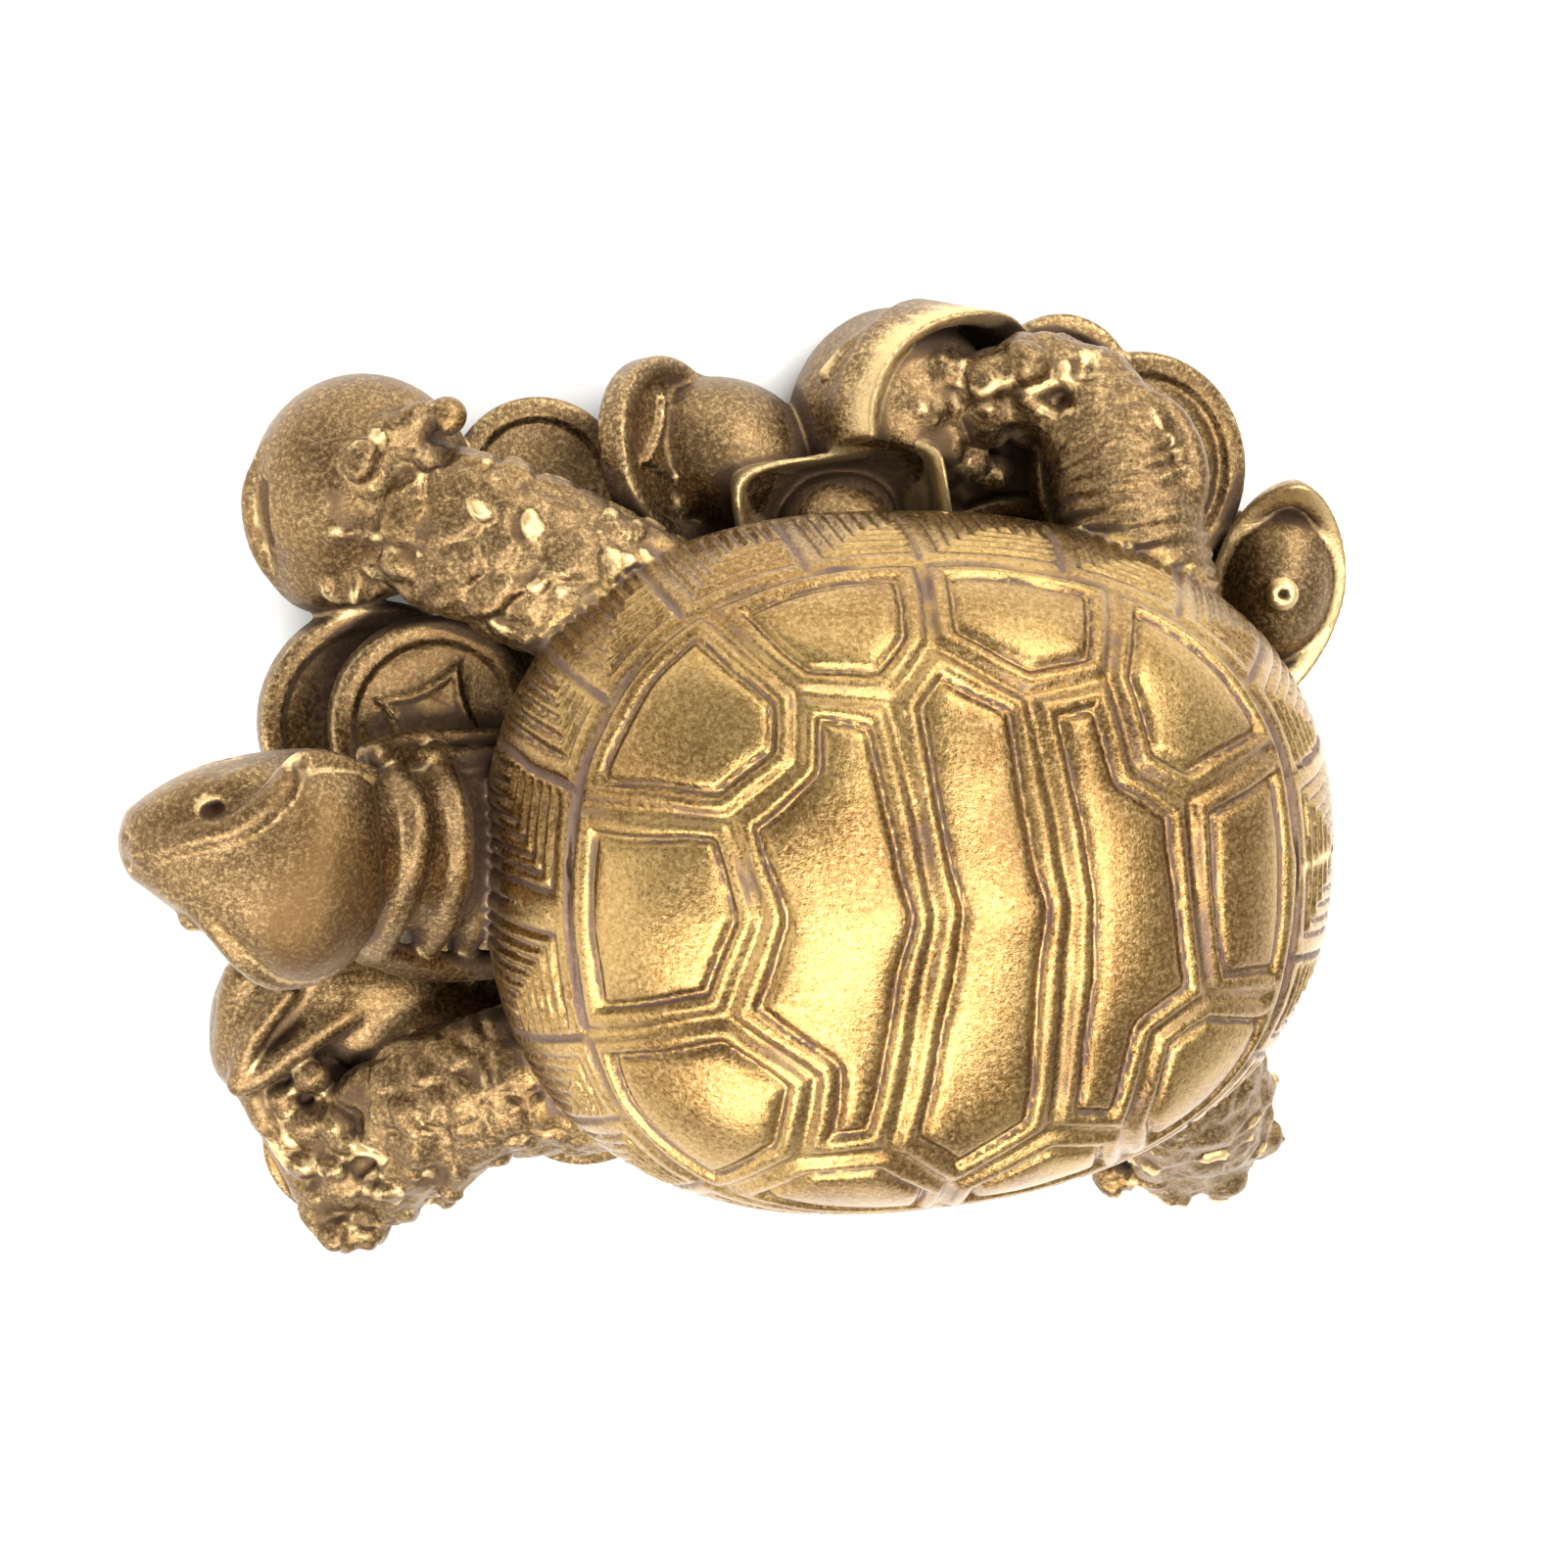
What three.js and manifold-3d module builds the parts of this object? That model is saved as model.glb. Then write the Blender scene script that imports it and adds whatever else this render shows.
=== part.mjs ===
// Brass turtle ornament: a tortoise standing on old coins and boat-shaped ingots, cast as one piece.
// Millimetres, +Z up. The turtle faces -X, its right side is +Y, and the ornament stands on z = 0.
// Places below are measured from the point under the middle of the shell. The last step moves the origin to
// the middle of the footprint.
import * as THREE from "three";
import { mergeVertices } from "three/addons/utils/BufferGeometryUtils.js";
import Module from "manifold-3d";

const wasm = await Module();
wasm.setup();

// Carapace
const SHELL_HALF_LENGTH = 21;
const SHELL_HALF_WIDTH = 17.1;
const SHELL_RISE = 13.8;
const RIM_HEIGHT = 13;
const PLAN_POWER = 2.38; // 2 would be an ellipse, more is squarer
const TAPER = -0.07; // the shell narrows towards the tail
const ALONG_POWER = 2.4; // how square the arch is from head to tail
const ACROSS_POWER = 4.4; // and from side to side
const ARCH_ROOT = 1.9;
const LIP_DEPTH = 1.4; // thickness of the shell's edge
const SHELL_SIDES = 24;
const SHELL_LEVELS = [0, 0.45, 0.82]; // heights of its rings, as fractions of the rise
const CROWN = 0.6; // the flat on top, as a fraction of the ring below it
const MARGIN_TOP = 20; // height of the seam above the row of edge plates
const SEAM = 0.6; // width of the sunk seam between two plates
const PLATE_RELIEF = 0.38;
const BAND = 1.2; // raised border of a plate
const INNER_GROOVE = 0.5;
const MARGINAL_PLATES = 20;

// Heap
const HEAP_MIDDLE = [-3, 1.5];
const HEAP_HALF_LENGTH = 18;
const HEAP_HALF_WIDTH = 13.5;
const HEAP_HEIGHT = 8.5;
const HEAP_SIDES = 20;
const LOWER_COINS = 7; // coins half sunk in the heap's flank
const LOWER_COINS_REACH = [16.5, 12];
const LOWER_COINS_LEAN = 8; // degrees, outwards
const COIN_RADIUS = 5.2;
const COIN_THICKNESS = 1.6;
const COIN_RIM = 0.75;
const COIN_SINK = 0.3; // depth of the field inside the rim
const COIN_SIDES = 14;
const BLANK_SIDES = 10;
const INGOT_SIDES = 12;

// Head, neck and legs
const HEAD_SIDES = 10;
const HEAD_POWER = 0.8; // below 1 the head's section is squarer than an ellipse
const NECK_FOLDS = 3;
const NECK_RADIUS = 4.9;
const NECK_FOLD_RADIUS = 4.2;
const LIMB_SIDES = 8;
const TOE_RADIUS = 1.35;
const SCALE_RADIUS = 1.15;

const SLIVER = 0.02; // detail smaller than this is smoothed away where pieces cross

const brass = new THREE.MeshStandardMaterial({
  name: "brass",
  color: 0xa5824a,
  roughness: 0.42,
  metalness: 1,
});

// A closed surface as a solid with its faces pointing out.
function solid(geometry) {
  const bare = geometry.clone();
  bare.deleteAttribute("normal");
  bare.deleteAttribute("uv");
  const merged = mergeVertices(bare, 1e-4);
  const vertProperties = new Float32Array(merged.attributes.position.array);
  const triVerts = new Uint32Array(merged.index.array);
  const made = new wasm.Manifold(new wasm.Mesh({ numProp: 3, vertProperties, triVerts }));
  if (made.volume() > 0) return made;
  for (let i = 0; i < triVerts.length; i += 3) {
    [triVerts[i + 1], triVerts[i + 2]] = [triVerts[i + 2], triVerts[i + 1]];
  }
  return new wasm.Manifold(new wasm.Mesh({ numProp: 3, vertProperties, triVerts }));
}

const join = (solids) => solids.reduce((all, one) => all.add(one));
const signedPower = (value, power) => Math.sign(value) * Math.abs(value) ** power;

// A stack of rings with as many points each, closed by a fan at both ends.
function skin(rings) {
  const sides = rings[0].length;
  const middle = (ring) =>
    ring.reduce((sum, point) => sum.add(point), new THREE.Vector3()).divideScalar(sides);
  const points = [...rings.flat(), middle(rings[0]), middle(rings.at(-1))];
  const index = [];
  for (let ring = 0; ring < rings.length - 1; ring++) {
    for (let side = 0; side < sides; side++) {
      const here = ring * sides + side;
      const next = ring * sides + ((side + 1) % sides);
      index.push(here, next, next + sides, here, next + sides, here + sides);
    }
  }
  const last = (rings.length - 1) * sides;
  for (let side = 0; side < sides; side++) {
    const next = (side + 1) % sides;
    index.push(rings.length * sides, next, side);
    index.push(rings.length * sides + 1, last + side, last + next);
  }
  return new THREE.BufferGeometry().setFromPoints(points).setIndex(index);
}

function placed(geometry, x, y, z, turn = 0, tiltX = 0, tiltY = 0) {
  const degrees = THREE.MathUtils.degToRad;
  return geometry
    .rotateZ(degrees(turn))
    .rotateX(degrees(tiltX))
    .rotateY(degrees(tiltY))
    .translate(x, y, z);
}

// The shell at one height as a fraction of its rise, grown outwards by an amount.
function shellRing(level, grow) {
  const inside = 1 - level ** ARCH_ROOT;
  const ring = [];
  for (let side = 0; side < SHELL_SIDES; side++) {
    const angle = ((side + 0.5) / SHELL_SIDES) * 2 * Math.PI;
    const along = signedPower(Math.cos(angle), 2 / PLAN_POWER);
    const across = signedPower(Math.sin(angle), 2 / PLAN_POWER);
    const lengthwise = along ** 2 / (along ** 2 + across ** 2);
    const power = ACROSS_POWER + (ALONG_POWER - ACROSS_POWER) * lengthwise;
    const reach = inside ** (1 / power);
    const x = (SHELL_HALF_LENGTH + grow) * along * reach;
    const width = (SHELL_HALF_WIDTH + grow) * (1 + (TAPER * x) / SHELL_HALF_LENGTH);
    ring.push(new THREE.Vector3(x, width * across * reach, RIM_HEIGHT + (SHELL_RISE + grow) * level));
  }
  return ring;
}

const scaledRing = (ring, scale, z) =>
  ring.map((point) => new THREE.Vector3(point.x * scale, point.y * scale, z));

function shellBody(grow) {
  const rings = SHELL_LEVELS.map((level) => shellRing(level, grow));
  const edge = rings[0];
  const crown = rings.at(-1);
  return skin([
    scaledRing(edge, 0.72, RIM_HEIGHT - LIP_DEPTH),
    scaledRing(edge, 0.965, RIM_HEIGHT - LIP_DEPTH),
    ...rings,
    scaledRing(crown, CROWN, RIM_HEIGHT + SHELL_RISE + grow),
  ]);
}

function prism(points, bottom, top) {
  const shape = new THREE.Shape(points.map(([x, y]) => new THREE.Vector2(x, y)));
  const geometry = new THREE.ExtrudeGeometry(shape, { depth: top - bottom, bevelEnabled: false });
  return geometry.translate(0, 0, bottom);
}

// A polygon with each side moved inwards by a distance.
function inset(points, distance) {
  const area = THREE.ShapeUtils.area(points.map(([x, y]) => new THREE.Vector2(x, y)));
  const turn = Math.sign(area);
  const lines = points.map(([x, y], i) => {
    const [toX, toY] = points[(i + 1) % points.length];
    const length = Math.hypot(toX - x, toY - y);
    const normal = [(-(toY - y) / length) * turn, ((toX - x) / length) * turn];
    return { normal, offset: normal[0] * x + normal[1] * y + distance };
  });
  return lines.map((line, i) => {
    const before = lines.at(i - 1);
    const [a, b] = before.normal;
    const [c, d] = line.normal;
    const determinant = a * d - b * c;
    return [
      (before.offset * d - b * line.offset) / determinant,
      (a * line.offset - before.offset * c) / determinant,
    ];
  });
}

// Corners where the seams between the big plates meet, seen from above. R is the turtle's right, L its left.
const corner = {
  neckR: [-17.3, 5.5],
  neckL: [-17.7, -6],
  firstR: [-11, 5.2],
  firstL: [-11.4, -4.4],
  notchR: [-7.7, 7.8],
  notchL: [-7.3, -7.6],
  frontTipR: [-7.4, 11],
  frontTipL: [-7.9, -12],
  secondR: [-3.1, 10.5],
  secondL: [-3.6, -11.6],
  middleTipR: [-0.8, 13],
  middleTipL: [-0.3, -14.1],
  thirdR: [3.6, 10.3],
  thirdL: [4.3, -11.2],
  rearTipR: [7.7, 10.8],
  rearTipL: [8.3, -11.9],
  rearNotchR: [8.7, 6.5],
  rearNotchL: [9.4, -6.7],
  fourthR: [11.4, 4.7],
  fourthL: [12.3, -5.2],
  tailR: [16.1, 6.1],
  tailL: [15.6, -6],
};
const spine = { first: [-9.6, 0.4], second: [-1.4, 0.3], third: [5.2, 0.3], fourth: [11.6, 0.2] };
const outer = {
  frontR: [-15.1, 18],
  frontL: [-15.1, -18],
  midR: [-0.2, 19],
  midL: [-0.2, -19],
  rearR: [10.1, 18],
  rearL: [10.1, -18],
  noseR: [-24, 5.5],
  noseL: [-24, -6],
  backR: [23, 7.5],
  backL: [23, -7.5],
  shoulderR: [-24, 18],
  shoulderL: [-24, -18],
};

const plates = [
  [corner.neckR, corner.firstR, spine.first, corner.firstL, corner.neckL, outer.noseL, outer.noseR],
  [corner.firstR, corner.notchR, corner.frontTipR, corner.secondR, spine.second]
    .concat([corner.secondL, corner.frontTipL, corner.notchL, corner.firstL, spine.first]),
  [corner.secondR, corner.middleTipR, corner.thirdR, spine.third]
    .concat([corner.thirdL, corner.middleTipL, corner.secondL, spine.second]),
  [corner.thirdR, corner.rearTipR, corner.rearNotchR, corner.fourthR, spine.fourth]
    .concat([corner.fourthL, corner.rearNotchL, corner.rearTipL, corner.thirdL, spine.third]),
  [corner.fourthR, corner.tailR, outer.backR, outer.backL, corner.tailL, corner.fourthL, spine.fourth],
  [corner.neckR, outer.noseR, outer.shoulderR, outer.frontR, corner.frontTipR, corner.notchR, corner.firstR],
  [corner.frontTipR, outer.frontR, outer.midR, corner.middleTipR, corner.secondR],
  [corner.middleTipR, outer.midR, outer.rearR, corner.rearTipR, corner.thirdR],
  [corner.rearTipR, outer.rearR, outer.backR, corner.tailR, corner.fourthR, corner.rearNotchR],
  [corner.neckL, corner.firstL, corner.notchL, corner.frontTipL, outer.frontL, outer.shoulderL, outer.noseL],
  [corner.frontTipL, corner.secondL, corner.middleTipL, outer.midL, outer.frontL],
  [corner.middleTipL, corner.thirdL, corner.rearTipL, outer.rearL, outer.midL],
  [corner.rearTipL, corner.rearNotchL, corner.fourthL, corner.tailL, outer.backL, outer.rearL],
];

const SKY = RIM_HEIGHT + SHELL_RISE + 5;

function carapace() {
  const relief = solid(shellBody(PLATE_RELIEF));
  const bands = [];
  for (const plate of plates) {
    const border = prism(inset(plate, SEAM / 2), MARGIN_TOP + SEAM / 2, SKY);
    const hollow = prism(inset(plate, SEAM / 2 + BAND), MARGIN_TOP + SEAM / 2 + BAND, SKY);
    const fieldInset = SEAM / 2 + BAND + INNER_GROOVE;
    const field = prism(inset(plate, fieldInset), MARGIN_TOP + fieldInset, SKY);
    bands.push(solid(border).subtract(solid(hollow)).add(solid(field)));
  }
  const beyond = 2 * SHELL_HALF_LENGTH;
  for (let i = 0; i < MARGINAL_PLATES; i++) {
    const from = (i / MARGINAL_PLATES) * 2 * Math.PI;
    const to = ((i + 1) / MARGINAL_PLATES) * 2 * Math.PI;
    const wedge = [
      [0, 0],
      [beyond * Math.cos(from), beyond * Math.sin(from)],
      [beyond * Math.cos(to), beyond * Math.sin(to)],
    ];
    bands.push(solid(prism(inset(wedge, SEAM / 2), RIM_HEIGHT - 0.6, MARGIN_TOP - SEAM / 2)));
  }
  return solid(shellBody(0)).add(relief.intersect(join(bands)));
}

// A limb or neck through stations of [x, y, z, half width, half thickness]; its width lies level.
function limb(stations, sides) {
  const centres = stations.map(([x, y, z]) => new THREE.Vector3(x, y, z));
  const rings = stations.map(([, , , wide, thick], i) => {
    const before = centres[Math.max(i - 1, 0)];
    const after = centres[Math.min(i + 1, centres.length - 1)];
    const forward = after.clone().sub(before).normalize();
    const level = new THREE.Vector3(-forward.y, forward.x, 0).normalize();
    const up = forward.clone().cross(level);
    return Array.from({ length: sides }, (_, side) => {
      const angle = (side / sides) * 2 * Math.PI;
      return centres[i]
        .clone()
        .addScaledVector(level, wide * Math.cos(angle))
        .addScaledVector(up, thick * Math.sin(angle));
    });
  });
  return solid(skin(rings));
}

const blob = (x, y, z, radius, long = 1, turn = 0) =>
  solid(placed(new THREE.OctahedronGeometry(radius, 1).scale(long, 1, 0.85), x, y, z, turn));

// Knobbly skin: bumps laid on a limb between two of its ends, in rows across.
function scales(from, to, width, rows, across) {
  const start = new THREE.Vector3(...from);
  const end = new THREE.Vector3(...to);
  const forward = end.clone().sub(start).normalize();
  const side = new THREE.Vector3(-forward.y, forward.x, 0).normalize();
  const bumps = [];
  for (let row = 0; row < rows; row++) {
    for (let place = 0; place < across; place++) {
      const sideways = (place - (across - 1) / 2 + (row % 2 ? 0.25 : -0.25)) * (width / across);
      const centre = start.clone().lerp(end, row / Math.max(rows - 1, 1)).addScaledVector(side, sideways);
      const drop = (sideways / width) ** 2 * SCALE_RADIUS * 4;
      const bump = new THREE.OctahedronGeometry(SCALE_RADIUS);
      bumps.push(solid(placed(bump, centre.x, centre.y, centre.z - drop, row * 40 + place * 25)));
    }
  }
  return join(bumps);
}

function head() {
  // [x, y, middle height, half width, half height]
  const stations = [
    [-39.1, 4, 16.6, 0.9, 1],
    [-38.4, 4.1, 16.7, 1.8, 1.9],
    [-36.9, 3.9, 16.9, 3.1, 2.7],
    [-35, 3.5, 17.1, 4.4, 3.3],
    [-33.2, 2.9, 17.4, 5.2, 3.9],
    [-31.4, 2.5, 17.6, 5.7, 4.3],
    [-29.2, 2.6, 17.6, 5.3, 4.3],
    [-27.4, 2.9, 17.2, 4.3, 3.7],
  ];
  const rings = stations.map(([x, y, z, wide, high]) =>
    Array.from({ length: HEAD_SIDES }, (_, side) => {
      const angle = ((side + 0.5) / HEAD_SIDES) * 2 * Math.PI;
      const across = signedPower(Math.cos(angle), HEAD_POWER);
      const up = signedPower(Math.sin(angle), HEAD_POWER);
      return new THREE.Vector3(x, y + wide * across, z + high * up);
    }),
  );
  const brows = [
    [-33.8, 6.6, 19],
    [-33.6, -0.8, 19],
  ].map(([x, y, z], i) => blob(x, y, z, 1.3, 1.9, i ? -35 : 35));
  const eyes = [
    [-34.8, 7.2, 17.4],
    [-35, -0.4, 17.4],
  ].map(([x, y, z]) => blob(x, y, z, 0.95));
  return join([solid(skin(rings)), ...brows, ...eyes]);
}

function neck() {
  const stations = [];
  const steps = 2 * NECK_FOLDS + 2;
  for (let step = 0; step <= steps; step++) {
    const along = step / steps;
    const radius = step % 2 ? NECK_RADIUS : NECK_FOLD_RADIUS;
    stations.push([-28.5 + 12 * along, 2.8 - 2.4 * along, 16.6 - along, radius, radius * 0.95]);
  }
  return limb(stations, HEAD_SIDES);
}

function coinGeometry(radius, sides) {
  const half = COIN_THICKNESS / 2;
  const profile = [
    [0, -half],
    [radius, -half],
    [radius, half],
    [radius - COIN_RIM, half],
    [radius - COIN_RIM - 0.25, half - COIN_SINK],
    [0, half - COIN_SINK],
  ];
  const geometry = new THREE.LatheGeometry(
    profile.map(([x, y]) => new THREE.Vector2(x, y)),
    sides,
  );
  return geometry.rotateX(Math.PI / 2);
}

// The four-pointed square with hollow sides in the middle of a coin, raised on its field.
function coinSquare(radius) {
  const reach = radius * 0.56;
  const shape = new THREE.Shape();
  shape.moveTo(reach, 0);
  for (let i = 1; i <= 4; i++) {
    const angle = (i * Math.PI) / 2;
    const between = angle - Math.PI / 4;
    shape.quadraticCurveTo(
      reach * 0.34 * Math.cos(between),
      reach * 0.34 * Math.sin(between),
      reach * Math.cos(angle),
      reach * Math.sin(angle),
    );
  }
  const options = { depth: COIN_SINK + 0.1, bevelEnabled: false, curveSegments: 3 };
  return new THREE.ExtrudeGeometry(shape, options).translate(0, 0, COIN_THICKNESS / 2 - COIN_SINK - 0.1);
}

// Coins are placed by the middle of the upper face.
function coin({ at: [x, y, z], radius = COIN_RADIUS, turn = 0, tilt = [0, 0], face = "square" }) {
  const drop = -COIN_THICKNESS / 2;
  if (face === "blank") {
    const blank = new THREE.CylinderGeometry(radius, radius, COIN_THICKNESS, BLANK_SIDES);
    const flat = blank.rotateX(Math.PI / 2).translate(0, 0, drop);
    return solid(placed(flat, x, y, z, turn, ...tilt));
  }
  const disc = coinGeometry(radius, COIN_SIDES).translate(0, 0, drop);
  const whole = solid(placed(disc, x, y, z, turn, ...tilt));
  if (face === "rim") return whole;
  return whole.add(solid(placed(coinSquare(radius).translate(0, 0, drop), x, y, z, turn, ...tilt)));
}

// A boat-shaped ingot: hull, rim rising to two tips, hollow top with a dome in it. Placed by its middle.
function ingot({ at: [x, y, z], length, width, height, turn = 0, tilt = [0, 0], fullness = 0.8 }) {
  const ring = (reach, level) =>
    Array.from({ length: INGOT_SIDES }, (_, side) => {
      const angle = (side / INGOT_SIDES) * 2 * Math.PI;
      const along = Math.cos(angle);
      const lift = Math.abs(along) ** 3;
      return new THREE.Vector3(
        (length / 2) * reach * along,
        (width / 2) * reach * (1 - 0.2 * lift) * Math.sin(angle),
        height * (level(lift) - 0.5),
      );
    });
  const rings = [
    ring(fullness * 0.6, () => 0),
    ring(fullness, (lift) => 0.3 + 0.1 * lift),
    ring(1, (lift) => 0.66 + 0.34 * lift),
    ring(0.88, (lift) => 0.68 + 0.32 * lift),
    ring(0.66, (lift) => 0.42 + 0.12 * lift),
    ring(0.42, () => 0.78),
  ];
  return solid(placed(skin(rings), x, y, z, turn, ...tilt));
}

function heap() {
  const [middleX, middleY] = HEAP_MIDDLE;
  const ring = (scale, z) =>
    Array.from({ length: HEAP_SIDES }, (_, side) => {
      const angle = (side / HEAP_SIDES) * 2 * Math.PI;
      const x = middleX + HEAP_HALF_LENGTH * scale * signedPower(Math.cos(angle), 0.8);
      const y = middleY + HEAP_HALF_WIDTH * scale * signedPower(Math.sin(angle), 0.8);
      return new THREE.Vector3(x, y, z);
    });
  const core = solid(skin([ring(1, 0), ring(0.97, HEAP_HEIGHT / 2), ring(0.8, HEAP_HEIGHT)]));
  const loose = [];
  for (let i = 0; i < LOWER_COINS; i++) {
    const angle = (i / LOWER_COINS) * 2 * Math.PI;
    const x = middleX + LOWER_COINS_REACH[0] * Math.cos(angle);
    const y = middleY + LOWER_COINS_REACH[1] * Math.sin(angle);
    const tilt = [LOWER_COINS_LEAN * Math.sin(angle), -LOWER_COINS_LEAN * Math.cos(angle)];
    loose.push(coin({ at: [x, y, 2.2 + 1.6 * (i % 3)], tilt, turn: 31 * i, face: "blank" }));
  }
  return join([core, ...loose]);
}

function coins() {
  return join([
    coin({ at: [-25, 6.8, 5.4], radius: 5.9, tilt: [0, 4], face: "rim" }),
    coin({ at: [-22.6, 7.2, 8], radius: 5.1, turn: 64, tilt: [0, 4] }),
    coin({ at: [-9.6, 19.5, 5.2], radius: 4.8, tilt: [-14, 48] }),
    coin({ at: [-7, 18, 4.2], radius: 4.2, tilt: [-10, 12], face: "blank" }),
    coin({ at: [-16.4, 18, 4], radius: 4.4, tilt: [-18, 0], face: "blank" }),
    coin({ at: [13.8, 17.2, 5], radius: 5.8, tilt: [-8, 14], face: "rim" }),
    coin({ at: [9.8, 21.4, 4.6], radius: 3.2, tilt: [-14, 6], face: "blank" }),
    coin({ at: [6.2, 15.4, 4], radius: 4.6, face: "blank" }),
    coin({ at: [17.4, 9.6, 3], radius: 5, face: "blank" }),
    coin({ at: [-28.1, -9, 3.2], radius: 5.6, face: "rim" }),
    coin({ at: [-27.2, -15, 3], radius: 4.2, tilt: [6, -6], face: "blank" }),
    coin({ at: [-21.6, -5.4, 4.8], radius: 5.2, face: "rim" }),
    coin({ at: [-15, -12.6, 4], radius: 4.5, tilt: [8, 0], face: "rim" }),
  ]);
}

function ingots() {
  const leaning = { height: 7.4, fullness: 1 };
  return join([
    ingot({ at: [-25.5, 18.4, 3.6], length: 11.6, width: 11.6, turn: 12, tilt: [42, 2], ...leaning }),
    ingot({ at: [2.4, 20.6, 4.3], length: 11.4, width: 10.8, turn: 60, tilt: [8, 42], ...leaning }),
    ingot({ at: [20.6, 10.9, 4.6], length: 10.6, width: 6.6, height: 6.2, turn: 80, tilt: [0, -8] }),
    ingot({ at: [-2.2, 15.8, 6], length: 10.6, width: 7.2, height: 6, turn: -4 }),
    ingot({ at: [-30, -6.6, 4.6], length: 10.4, width: 6, height: 6, turn: 54 }),
  ]);
}

function legs() {
  const frontRight = [
    [-12.5, 12.5, 12.5, 4.2, 3.4],
    [-16.5, 14.6, 11.4, 4.6, 3.2],
    [-20, 16.3, 10, 4.6, 2.9],
    [-23.5, 17.5, 8.4, 4.2, 2.4],
    [-26.6, 17.6, 7.2, 3.5, 1.8],
  ];
  const frontLeft = [
    [-12.5, -10.4, 12.3, 4.2, 3.4],
    [-17, -10.6, 10.6, 4, 3.2],
    [-21, -11.4, 8.8, 4.2, 3],
    [-25, -13.6, 6.6, 4.4, 2.5],
    [-28.6, -16.2, 4.4, 3.9, 1.8],
  ];
  const hindRight = [
    [13, 11, 12.4, 4, 3.4],
    [13.5, 15.5, 11.4, 4.2, 3.2],
    [12.8, 19.3, 9.4, 3.6, 2.7],
    [10.2, 21.8, 7.6, 3, 2.1],
    [7.2, 22, 6.6, 2.6, 1.6],
  ];
  const hindLeft = [
    [13, -10, 12.4, 4, 3.4],
    [14.5, -13.5, 9.8, 4.2, 3.1],
    [15.6, -16.4, 6.6, 3.8, 2.5],
    [15.9, -18.8, 4.3, 3.5, 1.7],
  ];
  const toes = [
    [-26, 19.5, 7.5],
    [-27, 16.8, 7.2],
    [-26.8, 14.2, 6.8],
    [-22.6, 21.4, 7.2],
    [-29.4, -12.4, 5.2],
    [-29.8, -15, 4.6],
    [-29, -17.8, 4.4],
    [-27.2, -19.4, 4.2],
    [6.6, 23.4, 6.4],
    [9, 24, 6.6],
    [6.4, 20.8, 6.6],
    [12.4, -19, 4],
    [14.8, -20, 4],
    [17.4, -19.6, 4],
    [19.2, -17.6, 4.2],
  ].map(([x, y, z]) => blob(x, y, z, TOE_RADIUS));
  const limbs = [frontRight, frontLeft, hindRight, hindLeft].map((stations) => limb(stations, LIMB_SIDES));
  return join([
    ...limbs,
    ...toes,
    scales([-17, 14.8, 13.8], [-25, 17.6, 9.6], 8, 4, 3),
    scales([-18, -11, 12.4], [-27, -15, 6.6], 7.4, 4, 3),
    scales([13.4, 16, 14], [11.8, 20.8, 10.8], 7, 3, 2),
  ]);
}

function belly() {
  const edge = shellRing(0, 0);
  return solid(
    skin([
      scaledRing(edge, 0.6, HEAP_HEIGHT / 2),
      scaledRing(edge, 0.78, HEAP_HEIGHT),
      scaledRing(edge, 0.86, RIM_HEIGHT - LIP_DEPTH + 0.5),
    ]),
  );
}

const tail = () =>
  limb(
    [
      [15, 0, 10.8, 2.2, 1.8],
      [18.2, -0.6, 9.8, 1.5, 1.3],
      [20, -1.8, 8.6, 0.7, 0.7],
    ],
    LIMB_SIDES,
  );

function turtle() {
  const ground = solid(new THREE.BoxGeometry(120, 120, 60).translate(0, 0, 30));
  const whole = join([carapace(), belly(), head(), neck(), legs(), tail(), heap(), coins(), ingots()]);
  const cast = whole.intersect(ground).simplify(SLIVER).getMesh();
  const geometry = new THREE.BufferGeometry();
  geometry.setAttribute("position", new THREE.BufferAttribute(cast.vertProperties, cast.numProp));
  geometry.setIndex(new THREE.BufferAttribute(cast.triVerts, 1));
  geometry.computeBoundingBox();
  const centre = geometry.boundingBox.getCenter(new THREE.Vector3());
  geometry.translate(-centre.x, -centre.y, 0);
  geometry.computeVertexNormals();
  const mesh = new THREE.Mesh(geometry, brass);
  mesh.name = "brass_turtle";
  return mesh;
}

const ornament = new THREE.Group();
ornament.add(turtle());

export default ornament;
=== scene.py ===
# %% [markdown]
# # A brass tortoise on coins and ingots
# This notebook sculpts a small brass casting: a tortoise that stands on a heap of old coins and boat-shaped
# ingots. On the real object everything is one piece of metal. So everything here is worked in one block of
# digital clay too, and becomes one mesh at the end, with soft fillets wherever one form runs into another.
#
# The solid part was made first, in a CAD program. It is loaded as a fixed frame, and the sculpture is built
# around it, in the same place and at the same size.

# %% The solid part as a fixed frame
import math
import time
from itertools import product

import bpy
import numpy as np
from mathutils import Matrix, Vector


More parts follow.
